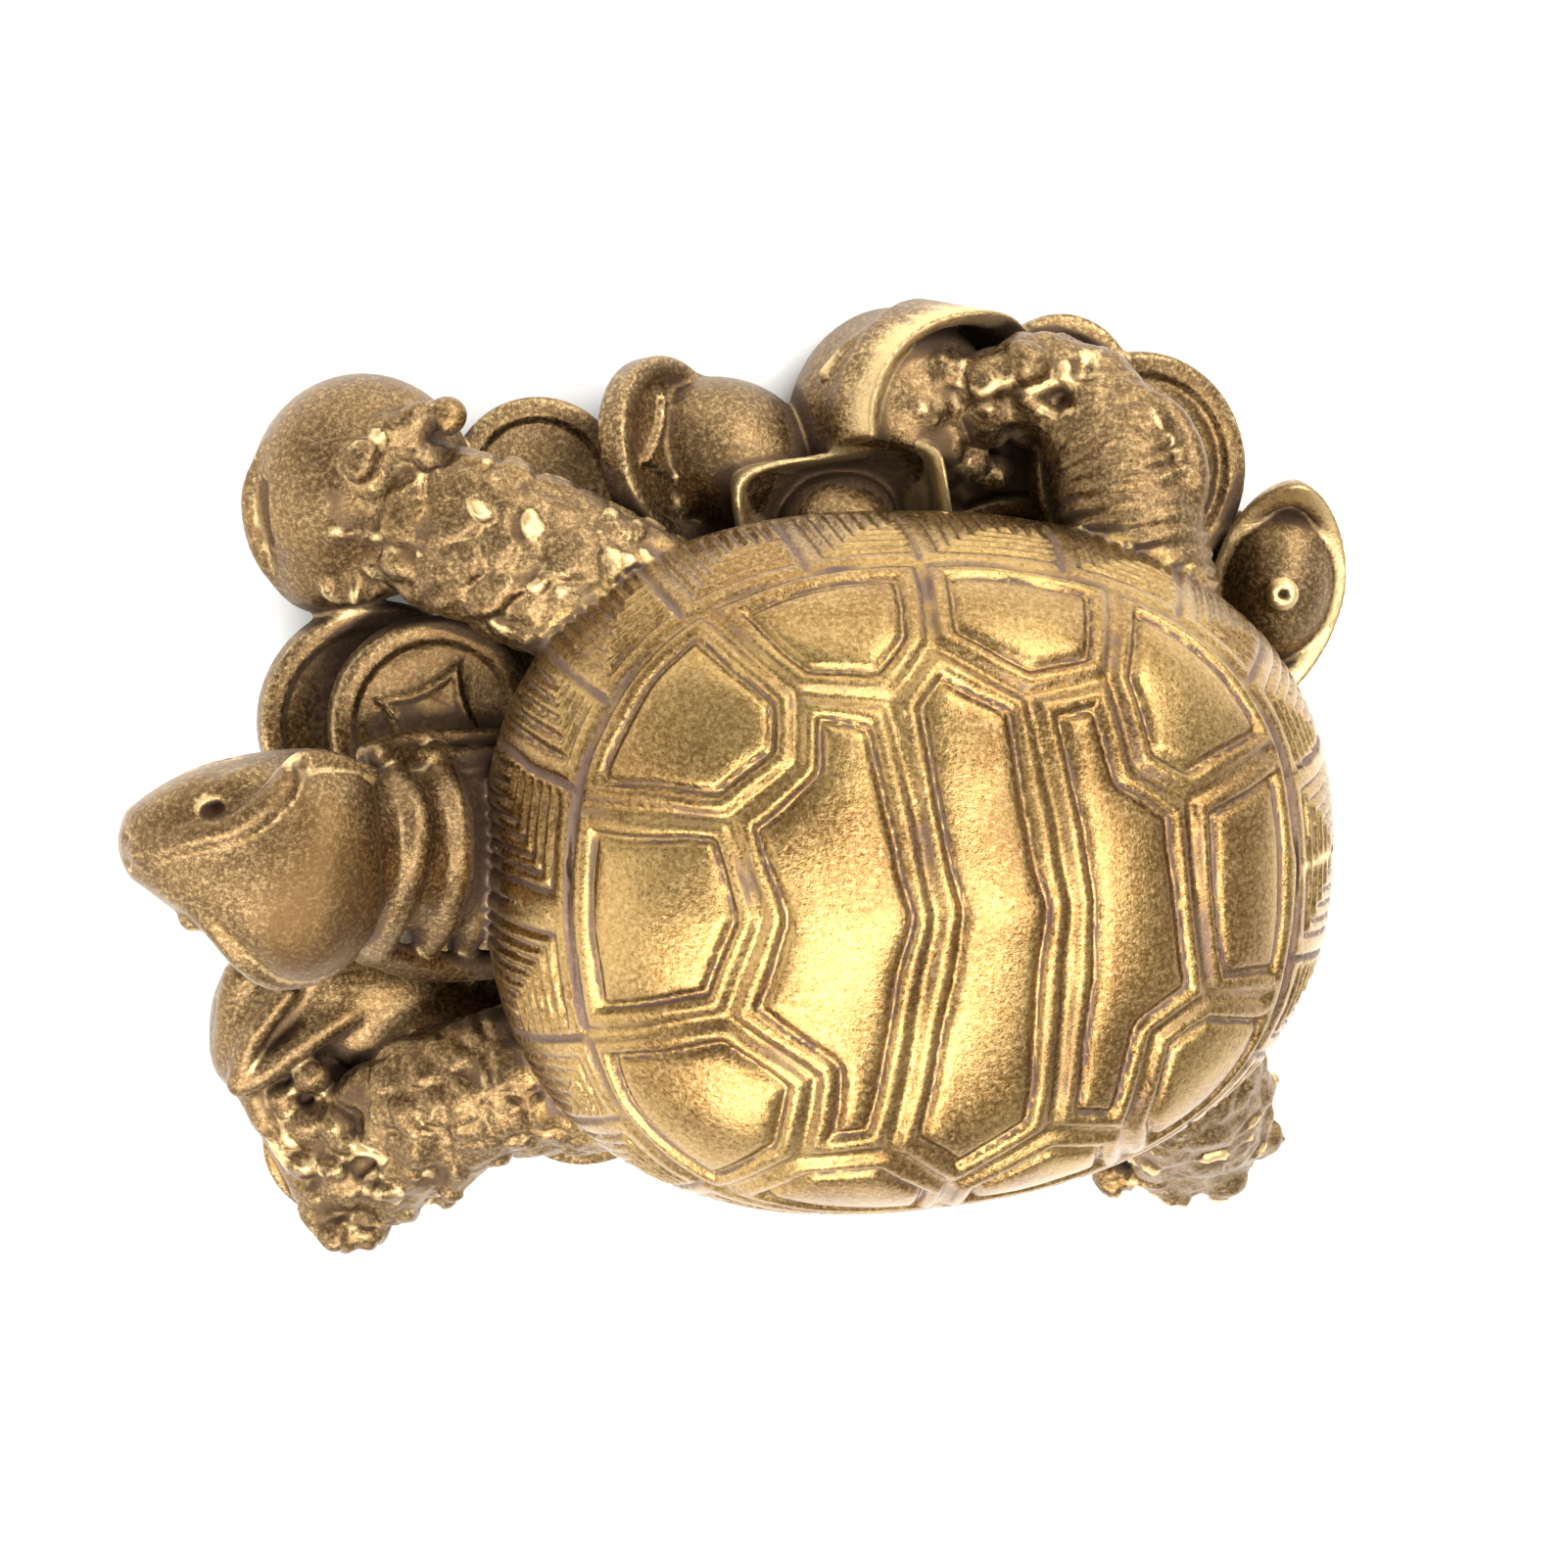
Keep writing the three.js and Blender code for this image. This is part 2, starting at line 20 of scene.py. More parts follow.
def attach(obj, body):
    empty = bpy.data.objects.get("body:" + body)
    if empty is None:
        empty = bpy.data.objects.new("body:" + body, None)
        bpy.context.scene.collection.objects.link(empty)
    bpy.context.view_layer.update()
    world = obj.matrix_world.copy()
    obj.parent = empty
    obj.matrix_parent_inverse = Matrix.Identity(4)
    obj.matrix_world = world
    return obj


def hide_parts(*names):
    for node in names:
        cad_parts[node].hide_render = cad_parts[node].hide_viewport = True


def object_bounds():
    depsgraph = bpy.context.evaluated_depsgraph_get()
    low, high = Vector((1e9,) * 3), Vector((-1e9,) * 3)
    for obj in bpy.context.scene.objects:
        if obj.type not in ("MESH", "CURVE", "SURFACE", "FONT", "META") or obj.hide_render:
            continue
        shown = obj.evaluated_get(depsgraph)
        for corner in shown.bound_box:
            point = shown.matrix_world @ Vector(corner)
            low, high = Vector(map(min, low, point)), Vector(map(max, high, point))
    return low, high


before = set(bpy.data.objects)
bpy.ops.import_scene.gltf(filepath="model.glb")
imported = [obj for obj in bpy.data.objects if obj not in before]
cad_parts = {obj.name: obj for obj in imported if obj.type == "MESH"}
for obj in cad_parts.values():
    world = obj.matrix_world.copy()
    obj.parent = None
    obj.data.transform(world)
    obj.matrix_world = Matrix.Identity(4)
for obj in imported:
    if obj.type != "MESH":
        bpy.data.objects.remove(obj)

started = time.perf_counter()
cad_low, cad_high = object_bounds()


def tell(*words):
    """Print what was made, and how long the script has run."""
    print(*words, "after", round(time.perf_counter() - started, 1), "s")


print("solid, in mm:", [round(1000 * side, 1) for side in cad_high - cad_low])

# %% [markdown]
# ## Millimetres from the middle of the shell
# Blender works in metres, but a maker thinks of this piece in millimetres, measured from the floor under the
# middle of the shell. The solid's box says where that point lies: the snout and the left front foot touch
# its sides. The head looks along -X, and +Y is the tortoise's right.

# %% From shell millimetres to the frame
MM = 0.001
SNOUT_X = -39.1
LEFT_FOOT_Y = -21.35
shell_middle = Vector((cad_low.x / MM - SNOUT_X, cad_low.y / MM - LEFT_FOOT_Y, 0))
print("shell middle in the frame, mm:", [round(value, 2) for value in shell_middle])


def metres(place):
    return (Vector(place) + shell_middle) * MM


# %% [markdown]
# ## The camera
# The photograph looks down from about 40 cm, leaning a little towards the head and the right flank. The
# angles, the distance and the scale were found by matching the shell's seams, which lie on a known dome. A
# long lens that aims at the middle of the picture gives the same view without any lens shift.

# %% Camera
PICTURE = 1601
PIXELS_PER_MM = 20.83
CAMERA_DISTANCE = 400
RIM_HEIGHT = 13.0
RIM_MIDDLE_PIXEL = (929.6, 875.2)  # where the point inside the shell at rim height is seen
LEAN_TO_FLANK = math.radians(12.5)
LEAN_TO_HEAD = math.radians(10.9)
PICTURE_TURN = math.radians(1.45)

flank_sin, flank_cos = math.sin(LEAN_TO_FLANK), math.cos(LEAN_TO_FLANK)
head_sin, head_cos = math.sin(LEAN_TO_HEAD), math.cos(LEAN_TO_HEAD)
untwist = Matrix.Rotation(-PICTURE_TURN, 3, "Z")
picture_right = untwist @ Vector((head_cos, 0, head_sin))
picture_up = untwist @ Vector((head_sin * flank_sin, flank_cos, -head_cos * flank_sin))
to_camera = untwist @ Vector((-head_sin * flank_cos, flank_sin, head_cos * flank_cos))

rim_middle = Vector((0, 0, RIM_HEIGHT))
aim = rim_middle + picture_right * (PICTURE / 2 - RIM_MIDDLE_PIXEL[0]) / PIXELS_PER_MM
aim += picture_up * (RIM_MIDDLE_PIXEL[1] - PICTURE / 2) / PIXELS_PER_MM
eye = rim_middle + to_camera * CAMERA_DISTANCE
backwards = (eye - aim).normalized()
sideways = picture_up.cross(backwards).normalized()
upwards = backwards.cross(sideways)

camera_data = bpy.data.cameras.new("photo_camera")
camera_data.sensor_width = 36
camera_data.lens = camera_data.sensor_width * PIXELS_PER_MM * CAMERA_DISTANCE / PICTURE
camera_data.clip_start = 0.01
camera = bpy.data.objects.new("photo_camera", camera_data)
bpy.context.scene.collection.objects.link(camera)
axes = Matrix((sideways, upwards, backwards)).transposed()
camera.matrix_world = Matrix.Translation(metres(eye)) @ axes.to_4x4()
bpy.context.scene.camera = camera
print("camera lens", round(camera_data.lens), "mm")

# %% [markdown]
# ## Digital clay
# The clay is a block of small cells. Each cell holds its distance to the surface in millimetres: positive in
# the air, negative in the metal. Modelling with polygons or with Blender's sculpt brushes would also do, but
# distances make three things easy that this object is full of: joining forms with a fillet, pressing narrow
# grooves into a curved surface, and knowing how deep in a hollow a point lies, which the patina and the
# painted shade in the hollows need later.

# %% A block of clay
CELL = 0.16
CORNER = np.array([-41.0, -24.0, -1.0])
FAR_CORNER = np.array([26.0, 28.5, 28.5])
FAR = 4.0


def blend(a, b, soft):
    """The nearer of two surfaces, with a fillet about as wide as soft where they meet."""
    gap = np.maximum(soft - np.abs(a - b), 0)
    return np.minimum(a, b) - gap * gap / (4 * soft)


def overlap(a, b, soft):
    """What two bodies have in common, with a rounded edge."""
    return -blend(-a, -b, soft)


class Clay:
    """A block of cells between two corners, on one grid that all blocks share."""

    def __init__(self, low, high):
        self.first = np.floor((np.array(low) - CORNER) / CELL).astype(int)
        self.last = np.ceil((np.array(high) - CORNER) / CELL).astype(int) + 1
        self.field = np.full(self.last - self.first, FAR, np.float32)

    def window(self, low, high):
        """Slices of the cells between two corners, and their x, y and z."""
        first = np.clip(np.floor((np.array(low) - CORNER) / CELL).astype(int), self.first, self.last - 1)
        last = np.clip(np.ceil((np.array(high) - CORNER) / CELL).astype(int) + 1, self.first + 1, self.last)
        part = tuple(slice(a, b) for a, b in zip(first - self.first, last - self.first))
        steps = [
            (CORNER[axis] + CELL * np.arange(first[axis], last[axis])).astype(np.float32)
            for axis in range(3)
        ]
        return part, steps[0][:, None, None], steps[1][None, :, None], steps[2][None, None, :]

    def add(self, shape, low, high, soft=0.25):
        part, x, y, z = self.window(low, high)
        self.field[part] = blend(self.field[part], shape(x, y, z), soft)

    def carve(self, shape, low, high, soft=0.25):
        part, x, y, z = self.window(low, high)
        self.field[part] = overlap(self.field[part], -shape(x, y, z), soft)

    def press_on(self, whole, soft=0.25):
        first, last = np.maximum(self.first, whole.first), np.minimum(self.last, whole.last)
        mine = tuple(slice(a, b) for a, b in zip(first - self.first, last - self.first))
        part = tuple(slice(a, b) for a, b in zip(first - whole.first, last - whole.first))
        whole.field[part] = blend(whole.field[part], self.field[mine], soft)


sculpture = Clay(CORNER, FAR_CORNER)
print("clay cells:", sculpture.field.size, "of", CELL, "mm")

# %% [markdown]
# ## Basic forms
# An egg, a rope through points, a limb of changing thickness: most of the animal is made of these. Each is a
# formula for the distance to its surface, good near the surface, where it counts.

# %% Eggs, ropes and limbs


def turned(turn=0, tilt_x=0, tilt_y=0):
    """A turn about Z, then about X, then about Y, in degrees. Its columns are the form's own axes."""
    spin = Matrix.Rotation(math.radians(tilt_y), 3, "Y") @ Matrix.Rotation(math.radians(tilt_x), 3, "X")
    return np.array(spin @ Matrix.Rotation(math.radians(turn), 3, "Z"))


def own_axes(spin, at, x, y, z):
    """Places in the form's own axes, which lie in the columns of spin."""
    dx, dy, dz = x - at[0], y - at[1], z - at[2]
    return [spin[0, i] * dx + spin[1, i] * dy + spin[2, i] * dz for i in range(3)]


def egg_distance(u, v, w, a, b, c):
    near = np.sqrt((u / a) ** 2 + (v / b) ** 2 + (w / c) ** 2)
    steep = np.sqrt((u / a**2) ** 2 + (v / b**2) ** 2 + (w / c**2) ** 2) + 1e-6
    return near * (near - 1) / steep


def egg(clay, at, radii, spin=None, soft=0.25, carve=False):
    spin = turned() if spin is None else spin
    reach = max(radii) + soft + 2 * CELL
    work = clay.carve if carve else clay.add
    low, high = np.array(at) - reach, np.array(at) + reach
    work(lambda x, y, z: egg_distance(*own_axes(spin, at, x, y, z), *radii), low, high, soft)


def smooth_path(stations, steps=5):
    """Stations joined by a soft curve, which passes through every one of them."""
    stations = np.array([tuple(station) for station in stations], float)
    ends = np.vstack([2 * stations[0] - stations[1], stations, 2 * stations[-1] - stations[-2]])
    path = []
    for i in range(1, len(ends) - 2):
        before, start, end, after = ends[i - 1 : i + 3]
        for share in np.arange(steps) / steps:
            curve = 2 * start + (end - before) * share
            curve = curve + (2 * before - 5 * start + 4 * end - after) * share**2
            path.append((curve + (3 * start - before - 3 * end + after) * share**3) / 2)
    path.append(stations[-1])
    return np.array(path)


def rope(clay, points, radius, soft=0.25, carve=False, steps=3):
    """A round rope on a soft curve through points. Its radius may change from point to point."""
    radii = np.broadcast_to(radius, len(points))
    path = smooth_path([tuple(point) + (size,) for point, size in zip(points, radii)], steps)
    reach = radii.max() + soft + 2 * CELL
    low, high = path[:, :3].min(axis=0) - reach, path[:, :3].max(axis=0) + reach

    def distance(x, y, z):
        nearest = None
        for a, b in zip(path, path[1:]):
            span = b[:3] - a[:3]
            run = (x - a[0]) * span[0] + (y - a[1]) * span[1] + (z - a[2]) * span[2]
            share = np.clip(run / (span @ span + 1e-9), 0, 1)
            away = (x - a[0] - share * span[0]) ** 2 + (y - a[1] - share * span[1]) ** 2
            away = np.sqrt(away + (z - a[2] - share * span[2]) ** 2) - (a[3] + (b[3] - a[3]) * share)
            nearest = away if nearest is None else np.minimum(nearest, away)
        return nearest

    (clay.carve if carve else clay.add)(distance, low, high, soft)


def level_axes(forward):
    """Axes along a limb: forward, level across, and up out of its back."""
    forward = forward / np.linalg.norm(forward)
    across = np.array([-forward[1], forward[0], 0]) / math.hypot(forward[0], forward[1])
    return np.stack([forward, across, np.cross(forward, across)], axis=1)


def limb(clay, stations, soft=0.8):
    """A limb through stations of x, y, z, half width and half thickness. Its width lies level."""
    path = smooth_path(stations)
    reach = path[:, 3].max() + 1
    form = Clay(path[:, :3].min(axis=0) - reach, path[:, :3].max(axis=0) + reach)
    for start, end in zip(path, path[1:]):
        length = np.linalg.norm(end[:3] - start[:3])
        spin = level_axes(end[:3] - start[:3])

        def distance(x, y, z):
            run, across, rise = own_axes(spin, start, x, y, z)
            share = np.clip(run / length, 0, 1)
            wide = start[3] + (end[3] - start[3]) * share
            thick = start[4] + (end[4] - start[4]) * share
            return egg_distance(run - share * length, across, rise, thick, wide, thick)

        size = max(start[3], end[3]) + 0.8
        low, high = np.minimum(start[:3], end[:3]) - size, np.maximum(start[:3], end[:3]) + size
        form.add(distance, low, high, 0.15)
    form.press_on(clay, soft)


def smooth_steps(x, knots, values):
    """A soft curve through values at knots, for sizes that change along a form."""
    knots, values = np.array(knots, float), np.array(values, float)
    slopes = np.gradient(values, knots)
    i = np.clip(np.searchsorted(knots, x) - 1, 0, len(knots) - 2)
    span = knots[i + 1] - knots[i]
    t = np.clip((x - knots[i]) / span, 0, 1)
    rise = values[i + 1] - values[i]
    bend = slopes[i] * span * (t - 1) ** 2 * t + slopes[i + 1] * span * (t - 1) * t**2
    return (values[i] + rise * t * t * (3 - 2 * t) + bend).astype(np.float32)


# %% [markdown]
# ## Coins
# The coins are the old cast kind: a broad raised rim round a sunk field, and a four-pointed square with
# hollow sides in the middle. A disc cut from a height map of its face gives all of that at once.

# %% A coin
COIN_THICKNESS = 1.6
COIN_RIM = 1.0
COIN_SINK = 0.42
SQUARE_REACH = 0.64  # of the radius
SQUARE_POWER = 0.72  # below 1 the square's sides are hollow


def coin_face(u, v, radius, face):
    """Height of the upper face, 0 at the rim."""
    out = np.hypot(u, v)
    height = np.interp(out, [radius - COIN_RIM - 0.3, radius - COIN_RIM], [-COIN_SINK, 0])
    if face == "square":
        spread = (np.abs(u) ** SQUARE_POWER + np.abs(v) ** SQUARE_POWER) ** (1 / SQUARE_POWER)
        inside = SQUARE_REACH * radius - spread
        height = height + np.interp(inside, [-0.25, 0.15, 0.5, 0.9], [0, 0.42, 0.38, 0.2])
    if face == "domed":
        height = height + np.interp(out, [0, radius - COIN_RIM - 0.9, radius - COIN_RIM - 0.5], [0.5, 0.3, 0])
    return height


def coin(at, radius=5.2, turn=0, tilt=(0, 0), face="square"):
    """A coin placed by the middle of its upper face."""
    spin = turned(turn, *tilt)
    reach = radius + 1
    low, high = np.array(at) - reach, np.array(at) + reach

    def distance(x, y, z):
        u, v, w = own_axes(spin, at, x, y, z)
        side = np.hypot(u, v) - radius
        top = w - coin_face(u, v, radius, face)
        bottom = -w - COIN_THICKNESS
        return overlap(overlap(side, top, 0.35), bottom, 0.35)

    sculpture.add(distance, low, high, 0.3)


# %% [markdown]
# ## Boat-shaped ingots
# An ingot is a small boat: a bulging hull, a thin rim that rises to a point at both ends, and a hollow with
# a dome in it. The hull is an oval whose size grows with height. The hollow is the same oval, one wall
# thickness smaller.

# %% An ingot
def ingot(at, length, width, height, turn=0, tilt=(0, 0), fullness=0.8, dome=(0.6, 0.36), corners=2,
          wall=0.75, nipple=False):
    """An ingot placed by the middle of its box. Fullness says how far the hull bulges below the rim, dome
    how far its dome spreads and rises, and corners above 2 make its plan squarer."""
    spin = turned(turn, *tilt)
    reach = max(length, width, height) / 2 + 1.5
    low, high = np.array(at) - reach, np.array(at) + reach
    half_long, half_wide = length / 2, width / 2

    def distance(x, y, z):
        u, v, w = own_axes(spin, at, x, y, z)
        level = w / height + 0.5
        grown = np.interp(level, [-0.1, 0, 0.12, 0.35, 0.66, 1.1], [0.3, 0.52, 0.74, 0.97, 1, 1.04])
        grown = grown * np.interp(level, [0, 0.4, 0.66], [fullness, fullness, 1])
        long, wide = half_long * grown, half_wide * grown
        outline = (np.abs(u / long) ** corners + np.abs(v / wide) ** corners) ** (1 / corners)
        hull = (outline - 1) * np.minimum(long, wide) * 0.92
        lift = np.minimum(np.abs(u) / half_long, 1) ** 2.6
        rim = (level - 0.66 - 0.34 * lift) * height
        bottom = -level * height
        body = overlap(overlap(hull, rim * 0.85, 0.25), bottom, 0.8)
        floor = (0.4 + 0.2 * lift - level) * height
        hollow = overlap(hull + wall, floor, 0.5)
        body = overlap(body, -hollow, 0.25)
        middle = (0.42 * height) - height / 2
        spread, rise = dome
        bulge = egg_distance(u, v, w - middle, half_long * spread * 0.92, half_wide * spread, height * rise)
        body = blend(body, bulge, 0.4)
        if nipple:
            crown = middle + height * rise
            out = np.hypot(u, v)
            body = blend(body, overlap(out - 0.75, np.abs(w - crown) - 0.35, 0.25), 0.3)
            body = overlap(body, -(out - 0.25 + 0.4 * np.abs(w - crown - 0.2)), 0.1)
        return body

    sculpture.add(distance, low, high, 0.3)


# %% [markdown]
# ## The heap
# Under the shell the heap is a plain core that nobody sees. Coins lean on its flank all round, and the ones
# that the photograph shows lie on top at their own angles, each placed one by one.

# %% Core and lower coins
HEAP_MIDDLE = (-3, 1.5)
HEAP_HALF_LENGTH = 17.4
HEAP_HALF_WIDTH = 12.9
HEAP_HEIGHT = 8.2


def heap_distance(x, y, z):
    slope = 1 - 0.2 * np.clip(z / HEAP_HEIGHT, 0, 1) ** 2
    along = np.abs(x - HEAP_MIDDLE[0]) / (HEAP_HALF_LENGTH * slope)
    across = np.abs(y - HEAP_MIDDLE[1]) / (HEAP_HALF_WIDTH * slope)
    side = ((along**2.5 + across**2.5) ** 0.4 - 1) * HEAP_HALF_WIDTH
    return overlap(side, z - HEAP_HEIGHT, 1.0)


sculpture.add(heap_distance, (-23, -14, -1), (17, 17, 10), 0.3)
egg(sculpture, (-3, 2, 0), (21, 18.5, 4.2), soft=0.3)
LOWER_COINS = 7
for i in range(LOWER_COINS):
    angle = 2 * math.pi * i / LOWER_COINS
    x = HEAP_MIDDLE[0] + 16.5 * math.cos(angle)
    y = HEAP_MIDDLE[1] + 12 * math.sin(angle)
    lean = (8 * math.sin(angle), -8 * math.cos(angle))
    coin((x, y, 2.2 + 1.6 * (i % 3)), turn=31 * i, tilt=lean)

# %% Coins that show
coin((-25, 6.8, 5.4), radius=5.9, turn=15, tilt=(0, 4), face="plain")
coin((-22.6, 7.2, 8), radius=5.1, turn=64, tilt=(0, 4))
coin((-9.6, 19.5, 5.2), radius=4.8, tilt=(-14, 48))
coin((-16.4, 18, 4), radius=4.4, tilt=(-18, 0), face="plain")
coin((13.8, 17.2, 5), radius=5.8, tilt=(-8, 14), face="domed")
coin((9.9, 21.6, 5.0), radius=3.6, tilt=(-14, 6), face="plain")
coin((6.2, 15.4, 4), radius=4.6, face="plain")
coin((17.4, 9.6, 3), radius=5, face="plain")
coin((-28.1, -9, 3.2), radius=5.6, face="plain")
coin((-27.2, -15, 3), radius=4.2, tilt=(6, -6), face="plain")
coin((-21.6, -5.4, 4.8), radius=5.2)
coin((-15, -12.6, 4), radius=4.5, tilt=(8, 0))

# %% Ingots with the hollow up
ingot((2.4, 20.6, 4.3), 11.4, 10.8, 7.4, turn=60, tilt=(8, 42), fullness=1.0, dome=(0.9, 0.56))
ingot((20.6, 10.9, 4.6), 11, 7, 6.2, turn=80, tilt=(0, -8), dome=(0.86, 0.56), corners=1.7, nipple=True)
egg(sculpture, (0.8, 20.6, 2.8), (5.2, 4.2, 4.6), turned(60), soft=0.4)
rope(sculpture, [(-2.2, 22.9, 5.2), (-0.7, 24.3, 5.4), (1.7, 25.2, 5.2)], (0.3, 0.4, 0.3), 0.3)

# %% [markdown]
# Three ingots show their hulls. Those are eggs pressed into the heap, with ropes for what shows of the rims.
# The one under the right front foot has a narrow slot behind its lip. The one under the left front foot
# shows a hollow between two straight bands.

# %% Ingots that show their hulls
egg(sculpture, (-6.9, 18.6, 2.9), (4.6, 3.9, 4.1), turned(-25), soft=0.4)
LIP = [
    (-30.0, 20.8, 4.6), (-30.7, 18.7, 4.6), (-30.6, 16.6, 4.4), (-29.9, 14.7, 4.0), (-28.5, 13.0, 3.4),
    (-27.2, 12.2, 3.0),
]
LIP_SLOT = [(-30.2, 18.9, 5.7), (-30.15, 17.6, 5.6), (-29.95, 16.4, 5.3)]
egg(sculpture, (-25.2, 18.4, 4.2), (5.5, 5.6, 4.5), soft=0.4)
egg(sculpture, (-27.0, 15.0, 3.4), (2.9, 2.9, 3.4), soft=0.6)
rope(sculpture, LIP, (0.2, 0.5, 0.55, 0.5, 0.45, 0.3), 0.3)
rope(sculpture, LIP_SLOT, 0.32, 0.4, carve=True)
OUTER_BAND = [(-32.7, -11.0, 5.2), (-32.2, -9.2, 5.6), (-31.6, -8.1, 5.9), (-30.2, -6.4, 5.9)]
INNER_BAND = [(-32.5, -11.2, 5.1), (-31.5, -10.5, 5.5), (-29.3, -8.9, 5.8), (-27.2, -7.7, 5.8)]
HULL_EDGE = [
    (-32.2, -5.9, 4.3), (-32.6, -8.2, 4.2), (-31.8, -11.5, 4.0), (-30.5, -14.0, 3.8), (-29.2, -16.8, 3.6),
]
egg(sculpture, (-29.9, -7.6, 3.3), (5.0, 2.9, 2.9), turned(49), soft=0.4)
egg(sculpture, (-30.2, -8.0, 6.6), (3.2, 0.8, 1.3), turned(49), soft=0.5, carve=True)
rope(sculpture, OUTER_BAND, 0.6, 0.4)
rope(sculpture, INNER_BAND, (0.5, 0.7, 0.75, 0.6), 0.4)
egg(sculpture, (-26.4, -7.2, 3.2), (5.4, 3.2, 3.0), soft=0.5)
egg(sculpture, (-23.4, -9.2, 3.4), (5, 2.6, 3.2), soft=0.5)
rope(sculpture, HULL_EDGE, 1.0, 0.4)
egg(sculpture, (-28.6, -13, 2.6), (2.7, 5.2, 2.4), turned(20), soft=0.5)

# %% [markdown]
# The squarish ingot by the shell lies on top of its neighbours. So a space is cleared for it first.

# %% Squarish ingot by the shell
egg(sculpture, (-1.6, 16.0, 9.8), (5.6, 4.2, 4.8), turned(7), soft=0.3, carve=True)
ingot((-2.0, 15.7, 6.2), 10.4, 7.4, 6, turn=7, dome=(0.62, 0.6), corners=7, wall=0.35)
tell("heap done")

# %% [markdown]
# ## The dome
# The shell is a dome on a squarish oval, a little wider at the tail. Its formula comes first, because the
# belly follows the same outline.

# %% Dome
HALF_LENGTH = 21.0
HALF_WIDTH = 17.1
RISE = 13.5
KEEL_Y, KEEL_RISE, KEEL_REACH, KEEL_ROUND = 0.3, 0.75, 8.5, 0.8
TAPER = -0.07
PLAN_POWER = 2.38
ALONG_POWER = 2.4
ACROSS_POWER = 4.4
ARCH_ROOT = 1.9
LIP_DEPTH = 1.4


def plan_reach(x, y):
    """1 on the rim and 0 in the middle, with the power of the arch in that direction."""
    along = np.abs(x) / HALF_LENGTH
    across = np.abs(y) / (HALF_WIDTH * (1 + TAPER * x / HALF_LENGTH))
    reach = (along**PLAN_POWER + across**PLAN_POWER) ** (1 / PLAN_POWER)
    lengthways = along**2 / (along**2 + across**2 + 1e-9)
    return reach, ACROSS_POWER + (ALONG_POWER - ACROSS_POWER) * lengthways


def keel(y, above_rim):
    """The low ridge along the spine, which fades out near the rim."""
    off = np.sqrt((y - KEEL_Y) ** 2 + KEEL_ROUND**2) / KEEL_REACH
    return KEEL_RISE * np.clip(1 - off, 0, 1) ** 1.3 * np.clip(above_rim / 6, 0, 1)


def dome_height(x, y):
    reach, power = plan_reach(x, y)
    above_rim = RISE * np.maximum(1 - reach**power, 0) ** (1 / ARCH_ROOT)
    return RIM_HEIGHT + above_rim + keel(y, above_rim)

# %% [markdown]
# ## Belly, legs and tail
# The four legs stretch out to the sides and press on coins and ingots. Each runs through a few stations,
# wide and rather flat.

# %% Belly and limbs
chance = np.random.default_rng(7)
animal = Clay((-41, -24, 1), (26, 27.5, 24))
LEGS = {
    "right front": [
        (-12.5, 12.5, 10.4, 4.2, 3.4), (-16.5, 14.6, 9.9, 4.3, 3.2), (-20, 16.3, 9.2, 4.2, 2.9),
        (-23, 17.4, 8.1, 3.9, 2.4), (-25, 17.7, 7.4, 3.3, 1.9),
    ],
    "left front": [
        (-12.5, -10.4, 10.2, 4.2, 3.4), (-17, -10.6, 9.4, 4, 3.2), (-21, -11.4, 8.4, 4.0, 3),
        (-24.6, -13.4, 6.6, 4.1, 2.4), (-27.6, -15.8, 4.6, 3.6, 1.8),
    ],
    "right hind": [
        (12.4, 11, 10.6, 3.9, 3.4), (12, 15.5, 10, 3.5, 3.2), (11.4, 18.9, 8.9, 3.3, 2.7),
        (9.8, 21.4, 7.4, 2.9, 2.1), (7.4, 21.8, 6.9, 2.6, 1.8),
        (5.0, 21.0, 6.6, 2.4, 1.5),
    ],
    "left hind": [
        (13, -10, 10.4, 4, 3.4), (14.5, -13.5, 9.2, 4.2, 3.1), (15.6, -16.4, 6.6, 3.8, 2.5),
        (15.9, -18.8, 4.3, 3.5, 1.7),
    ],
}
for stations in LEGS.values():
    limb(animal, stations)
limb(animal, [(15, 0, 10.8, 2.2, 1.8), (18.2, -0.6, 9.8, 1.5, 1.3), (20, -1.8, 8.6, 0.7, 0.7)])

BELLY_LEVELS = [4, 4.25, 8.5, 12.1]
BELLY_SHARES = [0.55, 0.6, 0.78, 0.86]


def belly_distance(x, y, z):
    reach, _ = plan_reach(x, y)
    side = (reach - np.interp(z, BELLY_LEVELS, BELLY_SHARES)) * HALF_WIDTH * 0.95
    return overlap(overlap(side, 4 - z, 0.8), z - 12.6, 0.8)


animal.add(belly_distance, (-20, -17, 3), (20, 17, 13.4), 0.6)
tell("limbs")

# %% [markdown]
# ### Feet
# The feet are the busiest places of the casting: round toes, claws, folds of skin and deep hollows between
# them, all at their own spots. Lumps are added and hollows pressed in one by one, as in wax.

